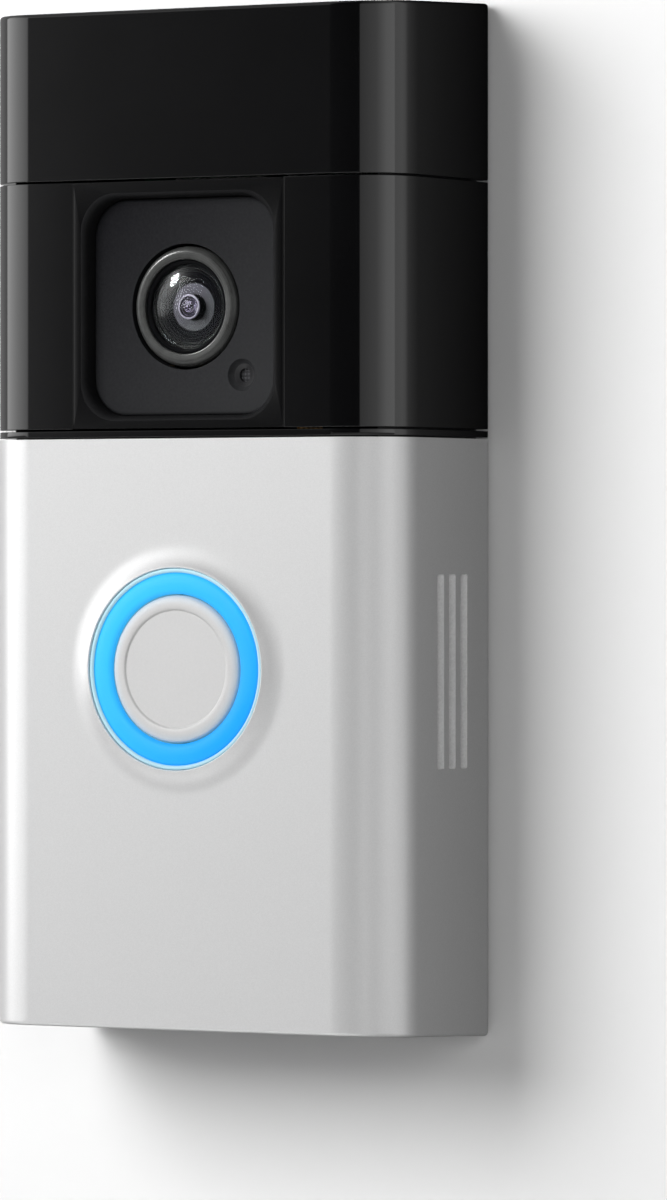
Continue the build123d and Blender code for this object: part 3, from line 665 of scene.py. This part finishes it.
def lamp_white():
    n = Nodes("led_white")
    g = n.noise(1800, 2, 0.6)
    r, _ = n.radius(0, Z_BUTTON)
    die = n.remap(n.math("ABSOLUTE", n.math("SUBTRACT", r, 0.011)), 0.0003, 0.00045, 1, 0)
    col = n.mix(n.math("MULTIPLY", die, 0.8), (0.80, 0.80, 0.76), (0.85, 0.75, 0.20))
    n.shader(col, n.remap(g, 0.3, 0.7, 0.25, 0.4), n.bump(g, 0.2, 0.00001), Emission_Color=(0.2, 0.5, 1.0, 1),
             Emission_Strength=0.25)
    return n.mat


def ir_lens():
    n = Nodes("led_lens")
    g = n.noise(1200, 2, 0.6)
    col = n.mix(n.remap(g, 0.3, 0.7, 0, 1), (0.05, 0.012, 0.018), (0.14, 0.04, 0.05))
    n.shader(col, n.remap(g, 0.3, 0.7, 0.06, 0.14), n.bump(g, 0.1, 0.00001), Coat_Weight=0.6, Coat_Roughness=0.05)
    return n.mat


MATS = {
    # painted light: the slot walls take a much lighter, non-metal copy of the silver, standing in for light reaching
    # into the slots
    "slot_wall_painted_light": moulded("slot_wall_painted_light", (0.94, 0.94, 0.94), 0.5, 0.6, grain=4000, depth=0.000005, strength=0.1,
                           lift=1.04),
    "gloss_black_shell": gloss_black("gloss_black_shell", (0.0016, 0.0016, 0.0018), 0.035, 0.06, 0.05),
    "bezel_black": gloss_black("bezel_black", (0.0016, 0.0016, 0.0018), 0.04, 0.07, 0.05),
    "bezel_edge": moulded("bezel_edge", (0.0060, 0.0060, 0.0064), 0.5, 0.62, grain=3000, depth=0.000006,
                          strength=0.15, Specular_IOR_Level=0.08),
    "charcoal_plate": charcoal(),
    "port_satin": moulded("port_satin", (0.013, 0.013, 0.014), 0.34, 0.42, grain=4200, depth=0.000004, strength=0.1,
                          lift=1.2),
    "gunmetal": turned_metal("gunmetal", (0.044, 0.045, 0.044), 0.24, 0.36, 0, Z_LENS, Metallic=0.5),
    "barrel_black": turned_metal("barrel_black", (0.0022, 0.0023, 0.0027), 0.5, 0.65, 0, Z_LENS, lines=14000.0,
                                 Specular_IOR_Level=0.06),
    "lens_glass": coated_glass("lens_glass", (0.93, 0.96, 0.95), 1.5),
    "lens_glass_inside": coated_glass("lens_glass_inside", (0.96, 0.97, 0.98), 1.5, (0.015, 0.015, 0.02), coat=0.0),
    "inner_glass": coated_glass("inner_glass", (0.50, 0.47, 0.55), 1.6, (0.45, 0.41, 0.53), coat=0.1),
    "aperture_black": turned_metal("aperture_black", (0.0026, 0.0025, 0.0033), 0.6, 0.75, 0, Z_LENS, lines=11000.0,
                                   Specular_IOR_Level=0.03),
    "satin_silver": satin_silver(),
    "button_silver": button_silver(),
    "light_guide_blue": light_guide(),
    "light_guide_lip": light_guide(True),
    "chassis_black": moulded("chassis_black", (0.020, 0.020, 0.022), 0.45, 0.62),
    "housing_black": moulded("housing_black", (0.024, 0.024, 0.026), 0.5, 0.68, grain=1500, depth=0.00004, strength=0.5),
    "rubber_black": moulded("rubber_black", (0.018, 0.018, 0.018), 0.7, 0.85, grain=3200, strength=0.25),
    "board_green": circuit("board_green", (0.010, 0.075, 0.035), (0.75, 0.55, 0.22)),
    "board_black": circuit("board_black", (0.010, 0.011, 0.013), (0.75, 0.55, 0.22)),
    "chip_black": chip(),
    "sensor_silicon": silicon(),
    "led_lens": ir_lens(),
    "led_white": lamp_white(),
    "pir_can": metal("pir_can", (0.58, 0.57, 0.55), 0.22, 0.38, grain=700),
    "pir_window": pir_lens(),
    "steel": metal("steel", (0.50, 0.50, 0.51), 0.25, 0.42, stretch=(1, 8, 1), grain=1200),
    "screw_black": metal("screw_black", (0.07, 0.07, 0.074), 0.3, 0.48, stretch=(1, 1, 6), grain=1500),
    "gold_contact": metal("gold_contact", (0.80, 0.58, 0.24), 0.18, 0.32, stretch=(1, 1, 12), grain=1500),
    "brass": metal("brass", (0.66, 0.47, 0.20), 0.26, 0.42, stretch=(12, 1, 1), grain=900),
    "mesh_dark": woven("mesh_dark", (0.022, 0.022, 0.024)),
    "cone_paper": woven("cone_paper", (0.05, 0.05, 0.055), 3000.0),
    "magnet": metal("magnet", (0.22, 0.22, 0.23), 0.35, 0.5, stretch=(1, 1, 1), grain=700),
    "ribbon_amber": striped("ribbon_amber", (0.42, 0.17, 0.02), (0.70, 0.38, 0.12), 9000.0, 0, Coat_Weight=0.5),
    "cell_wrap": wrapped_cell(),
    "battery_black": moulded("battery_black", (0.022, 0.022, 0.024), 0.48, 0.64, grain=1900, depth=0.00003),
    "latch_black": moulded("latch_black", (0.030, 0.030, 0.032), 0.4, 0.55, grain=2600),
    "spring_steel": metal("spring_steel", (0.55, 0.55, 0.55), 0.2, 0.34, stretch=(6, 6, 1), grain=1400),
}


# ============================================================ outer shells
def shell_end(top, z_cut, t):
    """One end of the product: rounded outer form, hollow, open to the wall and at the cut."""
    ob = rings("shell", outer_loops(top, z_cut))
    inner = inner_block(t, z_cut - 2 if top else z_cut + 2, top)
    return boolean(ob, inner)


def slice_loops(inset, z0, z1, y_back=-0.3, r_back=R_BACK):
    return [[(x, y, z) for x, y in plan(inset, y_back, r_back)] for z in (z0, z1)]


# gloss black cap
cover = shell_end(True, Z_COVER, T_TOP)
stand_for(soften(clean(cover), 0.10, 3), "top_cover_shell", "root", "top_cover")

# gloss black shell round the camera
band = rings("band", slice_loops(0, Z_BAND_LO, Z_BAND_HI))
boolean(band, rings("cutter", slice_loops(T_TOP, Z_BAND_LO - 2, Z_BAND_HI + 2, 4.0, 0.02)))
boolean(band, box(-17.5, 17.5, -24.8, -22.0, Z_BAND_LO, Z_BAND_HI), "UNION")
boolean(band, box(-15.5, 15.5, -40, -23.2, 0, 60))
boolean(band, box(-12.4, 12.4, -25, -20, 13.9, 39.6))
stand_for(soften(clean(band), 0.07, 2), "camera_band_shell", "root", "camera_band")

# gloss strip between the two colours
strip = rings("strip", slice_loops(0, Z_LIP_LO, Z_LIP_HI))
boolean(strip, rings("cutter", slice_loops(T_TOP, Z_LIP_LO - 2, Z_LIP_HI + 2, 4.0, 0.02)))
stand_for(soften(clean(strip), 0.08, 2), "divider_strip_shell", "root", "divider_strip")

# ------------------------------------------------------------ satin faceplate
plate = shell_end(False, Z_FACE_HI, T_FACE)
boolean(plate, box(-WIDTH / 2 + T_FACE, WIDTH / 2 - T_FACE, -19.8, 5, -80, -50))
for y in (-7.0, -9.95, -12.85):
    ring = rrect(1.73, 24.3, 0.3, 4)
    boolean(plate, rings("cutter", [[(x, y + u, -19.0 + v) for u, v in ring] for x in (26.0, 34.0)]))
boolean(plate, rod_z(0, -23.0, 2.65, -70, -63.05, 48))
boolean(plate, rod_z(0, -23.0, 1.45, -70, -60, 40))
clean(plate)
HOLE, SEG = 15.9, 144
boolean(plate, rod_y(0, Z_BUTTON, HOLE, -40, -20, SEG))
bm = bmesh.new()
bm.from_mesh(plate.data)
bmesh.ops.remove_doubles(bm, verts=bm.verts, dist=2e-6)
wall = [f for f in bm.faces if abs(f.normal.y) < 0.2 and all(
    abs(math.hypot(v.co.x, v.co.z - Z_BUTTON * MM) - HOLE * MM) < 2e-5 for v in f.verts)]
bmesh.ops.delete(bm, geom=wall, context="FACES")
# raised collar, turned, joined to the front and rear loops of the hole
profile = [(HOLE, -26.5), (15.7, -26.503), (15.45, -26.511), (15.2, -26.527), (14.9, -26.560), (14.55, -26.620),
           (14.2, -26.705), (13.85, -26.820), (13.5, -26.965), (13.2, -27.120), (12.98, -27.255), (12.86, -27.325),
           (12.78, -27.345), (12.71, -27.325), (12.66, -27.25), (12.65, -27.12), (12.65, -25.1), (12.8, -24.9),
           (HOLE, -24.9)]
rows = [[bm.verts.new((r * math.cos(2 * math.pi * i / SEG) * MM, y * MM,
                       (Z_BUTTON + r * math.sin(2 * math.pi * i / SEG)) * MM)) for i in range(SEG)]
        for r, y in profile]
for a, b in zip(rows, rows[1:]):
    for i in range(SEG):
        j = (i + 1) % SEG
        bm.faces.new((a[i], a[j], b[j], b[i]))
bmesh.ops.remove_doubles(bm, verts=bm.verts, dist=4e-6)
bmesh.ops.recalc_face_normals(bm, faces=bm.faces)
bm.to_mesh(plate.data)
bm.free()
soften(plate, 0.17, 3, 38)
stand_for(plate, "faceplate_shell", "faceplate", "faceplate", mats=[MATS["satin_silver"], MATS["slot_wall_painted_light"]])
# painted light: the slot walls get the lighter copy of the silver, standing in for light reaching into them
for p in plate.data.polygons:
    c = p.center / MM
    if c.x > 28.0 and abs(c.z + 19.0) < 12.3 and -14.0 < c.y < -5.8 and abs(p.normal.x) < 0.5 and any(
            abs(c.y - y) < 0.9 for y in (-7.0, -9.95, -12.85)):
        p.material_index = 1


# ============================================================ camera
def rr3(w, r, y, n=12, cx=0.0, cz=Z_WINDOW, h=None):
    return [(cx + u, y, cz + v) for u, v in rrect(w, h or w, r, n)]


zc = (Z_BAND_LO + 0.05 + Z_BAND_HI - 0.05) / 2
hh = (Z_BAND_HI - 0.05) - (Z_BAND_LO + 0.05)
bezel = rings("bezel", [
    rr3(30.8, 0.25, -26.5, cz=zc, h=hh),
    rr3(28.6, 4.9, -26.5),
    rr3(28.25, 4.87, -26.47),
    rr3(27.95, 4.84, -26.37),
    rr3(27.7, 4.82, -26.20),
    rr3(27.5, 4.8, -25.96),
    rr3(27.36, 4.79, -25.66),
    rr3(27.28, 4.78, -25.30),
    rr3(27.24, 4.78, -23.2),
    rr3(30.8, 0.25, -23.2, cz=zc, h=hh)], close=True)
soften(bezel, 0.06, 2, 40)
stand_for(bezel, "camera_bezel_frame", "root", "camera_bezel", mats=[MATS["bezel_black"], MATS["bezel_edge"]])
for p in bezel.data.polygons:
    c = p.center / MM
    if max(abs(c.x), abs(c.z - Z_WINDOW)) < 14.28 and -26.49 < c.y:
        p.material_index = 1

cplate = rings("plate", [
    rr3(27.16, 4.72, -23.2),
    rr3(27.16, 4.72, -24.10),
    rr3(27.06, 4.68, -24.29),
    rr3(26.8, 4.6, -24.43),
    rr3(26.35, 4.45, -24.5)])
boolean(cplate, rod_y(0, Z_LENS, 7.9, -26, -22, 128))
boolean(cplate, lathe("cutter", 8.2, 18.0, [(0, -24.9), (2.15, -24.9), (2.03, -24.5), (1.85, -24.2), (1.45, -23.85),
                                            (0.85, -23.62), (0.85, -22.9), (0, -22.9)], 64, closed=False))
soften(clean(cplate), 0.06, 2, 40)
stand_for(cplate, "camera_plate_panel", "root", "camera_plate", mats=[MATS["charcoal_plate"], MATS["port_satin"]])
for p in cplate.data.polygons:
    c = p.center / MM
    if 0.7 < math.hypot(c.x - 8.2, c.z - 18.0) < 1.6 and c.y > -24.22:
        p.material_index = 1

trim = lathe("trim", 0, Z_LENS, [
    (5.93, -24.95), (5.96, -25.10), (6.03, -25.17), (6.14, -25.19), (6.5, -25.21), (6.72, -25.22), (6.86, -25.195),
    (7.0, -25.14), (7.14, -25.05), (7.28, -24.92), (7.40, -24.76), (7.50, -24.56), (7.57, -24.32), (7.6, -24.05),
    (7.6, -21.4), (5.93, -21.4)], 144)
stand_for(soften(trim, 0.03, 2, 60), "lens_trim", "root", "lens_trim_ring")

barrel = lathe("barrel", 0, Z_LENS, [
    (5.32, -24.62), (5.45, -24.74), (5.72, -24.8), (5.91, -24.72), (5.91, -12.0), (3.62, -12.0), (3.62, -19.0),
    (2.92, -19.0), (2.92, -20.0), (4.42, -20.0), (4.42, -23.62), (5.32, -23.62)], 144)
stand_for(soften(barrel, 0.04, 2, 50), "lens_barrel_tube", "root", "lens_barrel")

# outer meniscus
glass = lathe("glass", 0, Z_LENS,
              [(5.3, -24.05), (5.3, -24.3)] + dome(5.26, -24.34, -25.72, 22)[:-1] + [(0, -25.72)]
              + [(0, -25.1)] + dome(4.75, -23.95, -25.1, 18)[::-1][1:] + [(4.8, -23.75), (5.3, -23.75)], 144)
soften(glass, 0, 0)
stand_for(glass, "front_lens_glass", "root", "front_lens", slot="lens_glass",
          mats=[MATS["lens_glass"], MATS["lens_glass_inside"]])
for p in glass.data.polygons:
    if p.normal.y > 0.3 and math.hypot(p.center.x, p.center.z - Z_LENS * MM) < 4.78 * MM:
        p.material_index = 1

# stepped baffle, grey disc and inner element
baffle = lathe("baffle", 0, Z_LENS, [
    (4.38, -23.55), (4.2, -23.62), (4.05, -23.45), (3.9, -23.5), (3.72, -23.28), (3.56, -23.32), (3.38, -23.1),
    (3.24, -23.14), (3.06, -22.92), (2.94, -22.92), (2.92, -22.86), (1.62, -22.72), (1.62, -21.2), (4.38, -21.2)],
    144, slots=[0, 0, 0, 0, 0, 0, 0, 0, 0, 1, 1, 0, 0, 0])


def disc_grey():
    n = Nodes("aperture_disc")
    r, rel = n.radius(0, Z_LENS)
    x, _, z = n.xyz(rel)
    ring = n.noise(6000.0, 2, 0.6, src=r, dims="1D")
    # painted light: lighter and lavender towards the upper left, the side the lamps fall on; neutral grey elsewhere
    t = n.remap(n.math("SUBTRACT", z, x), -0.002, 0.0035, 0, 1, smooth=True)
    col = n.mix(t, (0.042, 0.042, 0.046), (0.062, 0.057, 0.071))
    n.shader(col, n.remap(ring, 0.3, 0.7, 0.55, 0.7), n.bump(ring, 0.05, 0.000004), Specular_IOR_Level=0.1)
    return n.mat


def lens_rim():
    n = Nodes("element_rim")
    r, rel = n.radius(0, Z_LENS)
    ring = n.noise(9000.0, 2, 0.6, src=r, dims="1D")
    col = n.mix(n.remap(ring, 0.3, 0.7, 0, 1), (0.17, 0.155, 0.195), (0.27, 0.25, 0.31))
    n.shader(col, n.remap(ring, 0.3, 0.7, 0.3, 0.45), n.bump(ring, 0.08, 0.000004), Metallic=0.6)
    return n.mat


MATS["aperture_disc"] = disc_grey()
MATS["element_rim"] = lens_rim()
stand_for(soften(baffle, 0.02, 2, 40, 60), "aperture_baffle", "root", "aperture_ring",
          mats=[MATS["aperture_black"], MATS["aperture_disc"]])

cell = lathe("cell", 0, Z_LENS, [
    (0, -22.3), (1.55, -22.3), (1.55, -23.95), (1.5, -24.08), (1.38, -24.12), (1.30, -24.05), (1.24, -23.9),
    (1.02, -23.84), (0.98, -23.92), (0.90, -23.94), (0.86, -23.86), (0.62, -23.74), (0.58, -23.82), (0.50, -23.84),
    (0.46, -23.76), (0.24, -23.66), (0, -23.64)], 96, closed=False,
    slots=[0, 0, 1, 1, 1, 0, 0, 1, 1, 0, 0, 1, 1, 0, 0, 0])
stand_for(soften(cell, 0.015, 2, 40, 60), "second_lens_cell", "root", "second_lens", slot="lens_glass",
          mats=[MATS["barrel_black"], MATS["element_rim"]])
eye = lathe("eye", 0, Z_LENS, [(0, -23.88), (0.5, -23.9), (1.22, -23.96)] + dome(1.22, -24.0, -24.42, 12), 96,
            closed=False)
stand_for(soften(eye, 0, 0), "second_lens_element", "root", slot="lens_glass", mats=[MATS["inner_glass"]])

# the stack sits almost flush with its plate
for ob in PIECES:
    if ob.name in ("lens_trim", "lens_barrel_tube", "front_lens_glass", "aperture_baffle", "second_lens_cell",
                   "second_lens_element"):
        ob.data.transform(Matrix.Translation((0, 0.45 * MM, 0)))

# ============================================================ button and light
ring = lathe("light_ring", 0, Z_BUTTON, [
    (9.36, -26.55), (9.42, -26.78), (9.55, -26.93), (9.8, -27.04), (10.15, -27.11), (10.7, -27.14), (11.25, -27.11),
    (11.62, -27.03), (11.86, -26.93), (12.0, -26.80), (12.04, -26.78), (12.08, -26.90), (12.16, -27.05),
    (12.30, -27.13), (12.48, -27.14), (12.59, -27.07), (12.61, -22.5), (14.2, -22.5), (14.2, -21.9), (10.3, -21.9),
    (10.3, -23.9), (9.36, -23.9)], 160,
    slots=[0] * 11 + [1] * 11)
stand_for(soften(ring, 0.03, 2, 50), "light_ring_guide", "root", "light_ring",
          mats=[MATS["light_guide_blue"], MATS["light_guide_lip"]])

cap = lathe("cap", 0, Z_BUTTON, [
    (0, -26.84), (3.7, -26.84), (7.26, -26.84), (7.30, -26.85), (7.36, -26.90), (7.44, -26.985), (7.50, -27.04),
    (7.58, -27.07), (7.9, -27.09), (8.35, -27.08), (8.7, -27.03), (8.95, -26.93), (9.12, -26.78), (9.22, -26.58),
    (9.25, -26.35), (9.25, -25.3), (0, -25.3)], 160, closed=False)
stand_for(soften(cap, 0, 0, sharp=60), "button_cap_disc", "button", "button_cap")


# ============================================================ pieces refined from their CAD form
def refine(node, width=0.12, segs=2, limit=48, name=None, split=False):
    """Same form as the CAD node, with clean faces and rounded edges."""
    src = NODES[node]
    me = src.data.copy()
    ob = bpy.data.objects.new(node + "_form", me)
    SCENE.collection.objects.link(ob)
    if me.has_custom_normals:
        me.attributes.remove(me.attributes["custom_normal"]) if "custom_normal" in me.attributes else None
    bm = bmesh.new()
    bm.from_mesh(me)
    bmesh.ops.remove_doubles(bm, verts=bm.verts, dist=1e-6)
    bmesh.ops.dissolve_limit(bm, angle_limit=math.radians(0.5), verts=bm.verts, edges=bm.edges)
    if split:
        bmesh.ops.triangulate(bm, faces=[f for f in bm.faces if len(f.verts) > 4], ngon_method="EAR_CLIP")
    bmesh.ops.recalc_face_normals(bm, faces=bm.faces)
    bm.to_mesh(me)
    bm.free()
    soften(ob, width, segs, limit, 50)
    return stand_for(ob, name or node + "_form", BODY_OF[node], node)


for node, width in (("back_housing", 0.25), ("battery_end_cap", 0.18), ("battery_case", 0.2), ("release_tab", 0.12),
                    ("chassis", 0.12), ("setup_button", 0.05), ("security_screw", 0.05), ("shield_can", 0.12),
                    ("speaker_frame", 0.12), ("contact_block", 0.1)):
    refine(node, width, split=node == "back_housing")

# the disc spring under the button, which in the real part flattens as the button is pushed, gets a mesh of its own
spring = refine("return_spring", 0.04)
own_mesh(spring)

# every CAD node still showing takes its record slot's material
for name, ob in NODES.items():
    if ob.hide_render:
        continue
    ob.data.materials.clear()
    ob.data.materials.append(MATS[SLOT_OF[name]])

# ============================================================ wall, floor, light, camera
lo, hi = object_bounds()


def stage_plane(name, corners, mat):
    bm = bmesh.new()
    bm.faces.new([bm.verts.new(c) for c in corners])
    me = bpy.data.meshes.new(name)
    bm.to_mesh(me)
    bm.free()
    ob = bpy.data.objects.new(name, me)
    SCENE.collection.objects.link(ob)
    me.materials.append(mat)
    return ob


def wall_material():
    n = Nodes("wall_paint")
    d = n.node("ShaderNodeBsdfDiffuse")
    g = n.noise(7, 3, 0.6)
    lp = n.node("ShaderNodeLightPath")
    n.link(n.mix(g, (0.64, 0.64, 0.64), (0.66, 0.66, 0.66)), d.inputs["Color"])
    # painted reflection: glossy rays see an emission ramp in place of the wall, dark close behind the product where
    # its shadow lies, a bright sweep further out
    x = n.xyz()[0]
    ramp = n.node("ShaderNodeValToRGB")
    n.link(n.remap(x, -0.1, 0.1, 0, 1), ramp.inputs[0])
    e = ramp.color_ramp.elements
    e[0].position, e[0].color = 0.0, (0.28, 0.28, 0.28, 1)
    e[1].position, e[1].color = 1.0, (0.5, 0.5, 0.5, 1)
    for at, v in ((-0.03, 0.15), (0.029, 0.0), (0.038, 0.038), (0.050, 0.115), (0.064, 0.20), (0.078, 0.42)):
        k = e.new((at + 0.1) / 0.2)
        k.color = (v, v, v, 1)
    em = n.node("ShaderNodeEmission")
    n.link(ramp.outputs[0], em.inputs["Color"])
    em.inputs["Strength"].default_value = 1.7
    look = n.node("ShaderNodeMixShader")
    n.link(lp.outputs["Is Glossy Ray"], look.inputs[0])
    n.link(d.outputs[0], look.inputs[1])
    n.link(em.outputs[0], look.inputs[2])
    tr = n.node("ShaderNodeBsdfTransparent")
    geo = n.node("ShaderNodeNewGeometry")
    seen = n.math("MAXIMUM", lp.outputs["Is Camera Ray"], lp.outputs["Is Glossy Ray"])
    fac = n.math("MULTIPLY", seen, n.math("SUBTRACT", 1.0, geo.outputs["Backfacing"]))
    mix = n.node("ShaderNodeMixShader")
    n.link(fac, mix.inputs[0])
    n.link(tr.outputs[0], mix.inputs[1])
    n.link(look.outputs[0], mix.inputs[2])
    n.link(mix.outputs[0], n.out.inputs["Surface"])
    return n.mat


def floor_material():
    n = Nodes("floor_paint")
    g = n.noise(5, 3, 0.6)
    p = n.shader(n.mix(g, (0.74, 0.74, 0.74), (0.78, 0.78, 0.78)), n.remap(g, 0.3, 0.7, 0.6, 0.7))
    # clear from below, so the underside of the product can be seen
    tr = n.node("ShaderNodeBsdfTransparent")
    geo = n.node("ShaderNodeNewGeometry")
    mix = n.node("ShaderNodeMixShader")
    n.link(geo.outputs["Backfacing"], mix.inputs[0])
    n.link(p.outputs[0], mix.inputs[1])
    n.link(tr.outputs[0], mix.inputs[2])
    n.link(mix.outputs[0], n.out.inputs["Surface"])
    return n.mat


W = 1.6
yw = 0.0004
stage_plane("wall", [(-W, yw, -0.30), (W, yw, -0.30), (W, yw, 1.2), (-W, yw, 1.2)], wall_material())
stage_plane("floor", [(-3, -3, -0.30), (3, -3, -0.30), (3, 3, -0.30), (-3, 3, -0.30)], floor_material())


def area(name, azimuth, elevation, dist, size, power, color=(1, 1, 1), target=(0, -0.013, 0)):
    a, e = math.radians(azimuth), math.radians(elevation)
    d = Vector((math.sin(a) * math.cos(e), -math.cos(a) * math.cos(e), math.sin(e)))
    lamp = bpy.data.lights.new(name, "AREA")
    lamp.shape = "RECTANGLE"
    lamp.size, lamp.size_y = size
    lamp.energy = power
    lamp.color = color
    ob = bpy.data.objects.new(name, lamp)
    ob.location = Vector(target) + d * dist
    ob.rotation_euler = (-d).to_track_quat("-Z", "Y").to_euler()
    SCENE.collection.objects.link(ob)
    return ob


key = area("key", -26, 21, 0.50, (0.34, 0.32), 3.7)
key.visible_glossy = False
fill = area("fill", 31, 8, 1.3, (0.45, 0.45), 2.5)
fill.visible_glossy = False
# a small lamp that only the lens answers to
spark = area("spark", -57, 30, 1.0, (0.19, 0.25), 8.0)
spark.data.shape = "ELLIPSE"
lens_only = bpy.data.collections.new("lens_only")
for ob in PIECES:
    if ob.name in ("front_lens_glass", "lens_trim"):
        lens_only.objects.link(ob)
spark.light_linking.receiver_collection = lens_only

world = bpy.data.worlds.new("studio")
SCENE.world = world
world.use_nodes = True
wt = world.node_tree
wt.nodes.clear()
wout = wt.nodes.new("ShaderNodeOutputWorld")
wtc = wt.nodes.new("ShaderNodeTexCoord")
wsep = wt.nodes.new("ShaderNodeSeparateXYZ")
wt.links.new(wtc.outputs["Generated"], wsep.inputs[0])


def wmath(op, a, b=None, clamp=False):
    n = wt.nodes.new("ShaderNodeMath")
    n.operation = op
    n.use_clamp = clamp
    for sock, v in zip(n.inputs, (a, b)):
        if v is None:
            continue
        if isinstance(v, (int, float)):
            sock.default_value = v
        else:
            wt.links.new(v, sock)
    return n.outputs[0]


def wramp(value, stops):
    """Stops are (position 0..1, level); levels over 1 are carried by a final factor."""
    top = max(v for _, v in stops)
    n = wt.nodes.new("ShaderNodeValToRGB")
    e = n.color_ramp.elements
    while len(e) > 1:
        e.remove(e[-1])
    e[0].position = stops[0][0]
    e[0].color = (stops[0][1] / top,) * 3 + (1,)
    for p, v in stops[1:]:
        k = e.new(p)
        k.color = (v / top,) * 3 + (1,)
    wt.links.new(value, n.inputs[0])
    return wmath("MULTIPLY", n.outputs[0], top)


azim = wmath("ARCTAN2", wsep.outputs[0], wmath("MULTIPLY", wsep.outputs[1], -1.0))
azim01 = wmath("ADD", wmath("DIVIDE", azim, 2 * math.pi), 0.5)
AZ = [(-180, 0.30), (-115, 0.35), (-102, 0.6), (-94, 2.1), (-86, 3.0), (-70, 2.75), (-50, 2.1), (-37, 1.5),
      (-35, 0.9), (-33.4, 0.20), (-30, 0.04), (-20, 0.026), (0, 0.02), (20, 0.018), (25.6, 0.03), (26.4, 0.50),
      (56, 0.82), (75, 1.5), (100, 1.7), (108, 1.7), (110, 0.4), (140, 0.30), (180, 0.30)]
side_light = wramp(azim01, [((a + 180) / 360, v) for a, v in AZ])


def el(deg):
    return (math.sin(math.radians(deg)) + 1) / 2


high01 = wmath("ADD", wmath("MULTIPLY", wsep.outputs[2], 0.5), 0.5)
tall_left = wramp(high01, [(0.0, 0.10), (el(-16), 0.14), (el(-6), 0.62), (el(0), 0.88), (el(4), 1.0), (el(14), 1.0),
                           (el(26), 0.6), (el(40), 0.25), (el(60), 0.12), (1.0, 0.12)])
tall_right = wramp(high01, [(0.0, 0.20), (el(-26), 0.25), (el(-16), 1.0), (el(20), 1.0), (el(30), 0.3), (1.0, 0.3)])
is_right = wmath("GREATER_THAN", wsep.outputs[0], 0.0)
tall = wmath("ADD", wmath("MULTIPLY", tall_right, is_right),
             wmath("MULTIPLY", tall_left, wmath("SUBTRACT", 1.0, is_right)))
level = wmath("MULTIPLY", side_light, tall)
bg_light = wt.nodes.new("ShaderNodeBackground")
wt.links.new(level, bg_light.inputs["Strength"])
bg_seen = wt.nodes.new("ShaderNodeBackground")
bg_seen.inputs["Color"].default_value = (0.93, 0.93, 0.93, 1)
wlp = wt.nodes.new("ShaderNodeLightPath")
wmix = wt.nodes.new("ShaderNodeMixShader")
wt.links.new(wlp.outputs["Is Camera Ray"], wmix.inputs[0])
wt.links.new(bg_light.outputs[0], wmix.inputs[1])
wt.links.new(bg_seen.outputs[0], wmix.inputs[2])
wt.links.new(wmix.outputs[0], wout.inputs["Surface"])

# camera
th = math.radians(31.0)
fwd = Vector((-math.sin(th), math.cos(th), 0))
right = Vector((math.cos(th), math.sin(th), 0))
aim = fwd + right * ((333.5 - 286.32) / 7577.0) - Vector((0, 0, 1)) * ((600.0 - 564.0) / 7577.0)
cam = bpy.data.cameras.new("camera")
cam.lens = 227.3
cam.sensor_width = 36.0
cam.sensor_fit = "AUTO"
cam.clip_start = 0.02
cam.clip_end = 20
cam_ob = bpy.data.objects.new("camera", cam)
cam_ob.location = (0.4994, -0.8312, -0.005563)
cam_ob.rotation_euler = aim.to_track_quat("-Z", "Y").to_euler()
SCENE.collection.objects.link(cam_ob)
SCENE.camera = cam_ob
